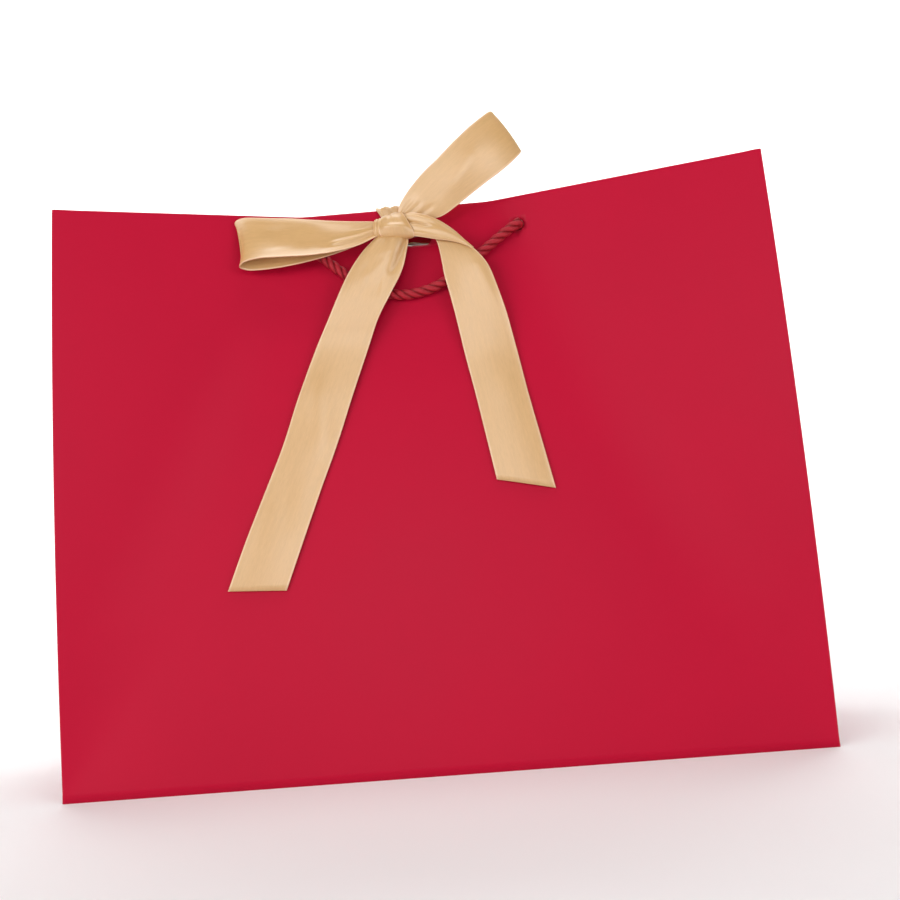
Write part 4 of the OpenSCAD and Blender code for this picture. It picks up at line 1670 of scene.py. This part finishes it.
    def _left_loop(self, finishes: Wardrobe) -> None:
        """The loop to the left, open below, with its back layer a little lower than its front one.

        Args:
            finishes: The materials.
        """
        maker = RibbonStrip("left_loop_ribbon", [
            ((-12.5, -16.4, 251.6), (-12.5, -15.8, 256.6), 0.3), ((-17.2, -19, 248.9), (-17, -17.8, 257.2), 0.9),
            ((-26, -21.2, 245), (-24.5, -18.9, 257.6), 1.5), ((-38, -23.2, 242.5), (-35, -19.6, 258.5), 1.8),
            ((-49, -24.9, 241.5), (-46.5, -19.9, 260), 1.8), ((-60, -26, 241.5), (-58, -19.9, 261.7), 1.5),
            ((-70.5, -26.3, 241.7), (-70, -19.7, 263), 1.1), ((-78.4, -25.6, 240.9), (-78.6, -19.2, 263.9), 1.2),
            ((-81.7, -23.8, 239.6), (-82.8, -18.2, 263.5), 1.7), ((-82.2, -21.9, 239), (-84.3, -17.2, 262.2), 1.7),
            ((-81, -20.4, 238.5), (-83.2, -16.5, 261.4), 1.2), ((-76.5, -19.4, 237.8), (-77.5, -15.9, 260.8), 0.4),
            ((-64.6, -18.9, 238.2), (-65, -15.9, 260), 0.1), ((-52, -18.7, 239.7), (-52, -16.5, 259.4), 0.0),
            ((-39, -18.4, 242.2), (-39, -16.9, 258), 0.0), ((-26.7, -17.7, 245.8), (-27, -16.6, 256.8), 0.0),
            ((-16.5, -16, 250.2), (-16.5, -15, 256.2), 0.0),
        ], [
            Fold((0.46, 0.0), (0.34, 0.17), -0.8, 1.7), Fold((0.24, 0.0), (0.18, 0.2), 0.5, 2.6),
            Fold((0.76, 0.0), (0.7, 0.12), 0.3, 2.6), Fold((0.5, 0.24), (0.62, 0.3), -0.7, 6.5),
            Fold((0.2, 0.37), (0.8, 0.385), 0.45, 5.0),
        ])
        loop = maker.mesh(finishes)
        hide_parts("left_loop")
        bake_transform(loop)

    def _right_loop(self, finishes: Wardrobe) -> None:
        """The loop that stands up past the top edge.

        Args:
            finishes: The materials.
        """
        maker = RibbonStrip("right_loop_ribbon", [
            ((1, -14.4, 257.6), (-5, -14.2, 260.4), 0.5), ((9.6, -16, 256.6), (-3.6, -15, 265.3), 1.4),
            ((16.4, -17.2, 257.2), (1.3, -16.6, 271.6), 1.6), ((23.6, -18.7, 260.9), (8.4, -18.4, 278.5), 1.6),
            ((31.4, -20.4, 265.7), (16.6, -20.5, 284.7), 1.5), ((39.3, -22, 270.5), (24.4, -22.2, 291.2), 1.2),
            ((47.4, -23.1, 275.4), (33.2, -23.2, 298), 0.9), ((52.8, -22.7, 279.6), (38.8, -22.8, 302), 0.9),
            ((55.9, -21.3, 282.8), (42.6, -21.3, 304.9), 0.8), ((57, -19.3, 284.9), (44.5, -19.2, 305.4), 0.8),
            ((54.8, -17.3, 284.2), (42.2, -17.2, 303.8), 0.7), ((46.5, -15.7, 278.4), (32.8, -15.6, 296.2), 0.3),
            ((35.4, -14.8, 271), (21.2, -14.6, 287.2), 0.1), ((23, -13.8, 262.8), (9, -13.6, 276.8), 0.0),
            ((11, -12.6, 258.2), (-1, -12.4, 267), 0.0), ((5, -12, 257.6), (-4, -12, 263.2), 0.0),
        ], [
            Fold((0.28, 0.0), (0.34, 0.1), -0.7, 1.8), Fold((0.56, 0.0), (0.56, 0.08), -0.6, 1.8),
            Fold((0.8, 0.0), (0.76, 0.08), -0.45, 1.6), Fold((0.35, 0.2), (0.6, 0.36), 0.5, 4.5),
        ])
        loop = maker.mesh(finishes)
        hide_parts("right_loop")
        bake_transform(loop)

    def _band(self, finishes: Wardrobe) -> None:
        """The gathered band: out of the front slot, up over both top edges and into the back slot.

        Args:
            finishes: The materials.
        """
        slot_z, top_z = self.form.mid_z - self.form.slot_drop, self.form.mid_z + 0.7
        front = self.form.face_y(slot_z)
        half = [
            (-9.4, -1.2, front + 3.4, slot_z + 0.6), (-9.4, -1.2, front + 0.4, slot_z + 0.6),
            (-9.8, -1.0, front - 1.2, slot_z + 2.4), (-11.5, -0.6, self.form.face_y(slot_z + 9) - 1.6, slot_z + 9),
            (-14.5, -1.2, self.form.face_y(slot_z + 15) - 1.2, slot_z + 15),
            (-16.2, -1.6, -6.3, top_z - 0.6), (-16.4, -2.0, -5.0, top_z + 0.3),
        ]
        back = [(-9.6, 9.4, front + 0.4, slot_z + 1.4), (-9.6, 8.6, front - 1.2, slot_z + 2.6),
                (-11.5, 3.0, self.form.face_y(slot_z + 9) - 1.6, slot_z + 9), *half[4:]]
        inner = [(-9.6, 9.4, -front - 3, slot_z + 1.6), (-9.5, 5.0, 0.0, slot_z + 0.8),
                 (-9.4, 1.0, front + 3.4, slot_z + 0.2)]
        ring = [*half[1:], (-16.5, -2.2, 0.0, top_z + 0.2), *((a, b, -y, z) for a, b, y, z in reversed(back)), *inner]
        stations = [((a, y, z), (b, y, z), -0.3) for a, b, y, z in ring]
        pleats = [Fold((k, 0.0), (k + 0.04, 1.0), h, 1.1)
                  for k, h in ((0.15, 0.5), (0.34, -0.5), (0.5, 0.45), (0.68, -0.5), (0.86, 0.4))]
        maker = RibbonStrip("tie_band_ribbon", stations, pleats)
        band = maker.mesh(finishes)
        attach(band, "bag")
        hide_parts("tie_band")

    def _knot(self, finishes: Wardrobe) -> None:
        """The knot: a gathered core, wrapped over its front by the ribbon, with a pleat at its left.

        Args:
            finishes: The materials.
        """
        joint = next(j for j in frame["joints"] if j["name"] == "right_loop_swing")
        centre = np.array(joint["pos_m"]) / MM
        rings, turns = 40, 72
        x = np.linspace(-1, 1, rings)
        a = np.linspace(0, 2 * math.pi, turns, endpoint=False)
        along, turn = np.meshgrid(x, a, indexing="ij")
        radius = 2.6 + 3.1 * np.sqrt(np.clip(1 - along**2, 0, 1))
        radius = radius * (1 + 0.07 * np.sin(5 * turn + 3 * along))
        points = np.stack([
            centre[0] + along * 8.2, centre[1] + np.cos(turn) * radius * 0.92, centre[2] + np.sin(turn) * radius,
        ], -1).reshape(-1, 3)
        faces = [
            (i * turns + j, (i + 1) * turns + j, (i + 1) * turns + (j + 1) % turns, i * turns + (j + 1) % turns)
            for i in range(rings - 1) for j in range(turns)
        ]
        faces.append(tuple(range(turns)))
        faces.append(tuple(reversed(range((rings - 1) * turns, rings * turns))))
        core = make_object("bow_knot_core", points, faces)
        set_uv(core, np.stack([along * self.ribbon_w / 2, turn * 7.0], -1).reshape(-1, 2) * MM)
        core.data.materials.append(finishes.satin)
        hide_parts("bow_knot")
        wrap = RibbonStrip("bow_knot_wrap", [
            ((-11.6, -11.5, 258.6), (-3.6, -11.5, 260), 0.2), ((-12, -14.2, 259.9), (-3.2, -14.2, 261.2), 0.5),
            ((-12.8, -16.8, 259.1), (-2.4, -17.2, 260), 1.1), ((-13.6, -18.4, 256.7), (-1.1, -18.8, 257.2), 2.4),
            ((-14.2, -19, 253.6), (0.5, -19.4, 253.8), 2.8), ((-14.3, -19.2, 251), (2.2, -19.7, 250.2), 2.1),
            ((-13.4, -18.5, 249.4), (2.3, -18.9, 248.2), 1.0), ((-11.8, -16.8, 248.9), (0.8, -17.2, 247.7), 0.5),
            ((-10.5, -14.8, 249.2), (-0.6, -14.8, 248.2), 0.1),
        ], [
            Fold((0.04, 0.6), (0.97, 0.64), 0.6, 1.5), Fold((0.1, 0.5), (0.7, 0.54), -0.5, 1.6),
            Fold((0.3, 0.1), (0.45, 0.42), -0.5, 2.6),
        ]).mesh(finishes)
        pleat = RibbonStrip("bow_knot_pleat", [
            ((-15.6, -14.5, 258.4), (-12, -14.8, 258.8), 0.2), ((-16.4, -17, 257.6), (-12.4, -17.8, 258), 0.6),
            ((-16.9, -18.2, 254.4), (-12.9, -19, 254.6), 0.9), ((-17, -18.1, 250.9), (-12.8, -18.7, 250.8), 0.7),
            ((-16.2, -16.4, 249.2), (-12.2, -16.8, 249.5), 0.4), ((-15.2, -14.5, 249.8), (-11.6, -14.8, 250), 0.1),
        ], [Fold((0.45, 0.0), (0.4, 1.0), -0.5, 2.6)]).mesh(finishes)
        for piece in (core, wrap, pleat):
            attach(piece, "bag")
        log.info("bow_knot_core: %d faces", len(faces))


def main() -> None:
    """Builds the studio, then the ropes, the paper and the ribbon, in that order."""
    logging.basicConfig(level=logging.INFO, format="%(name)s %(message)s")
    Studio().build()
    finishes = Wardrobe()
    form = BagForm.from_frame()
    for side in Side:
        RopeHandle(form, side).build(finishes)
    PaperBag(form).build(finishes)
    InnerPaper(form).build(finishes)
    RibbonBow(form).build(finishes)


if __name__ == "__main__":
    main()
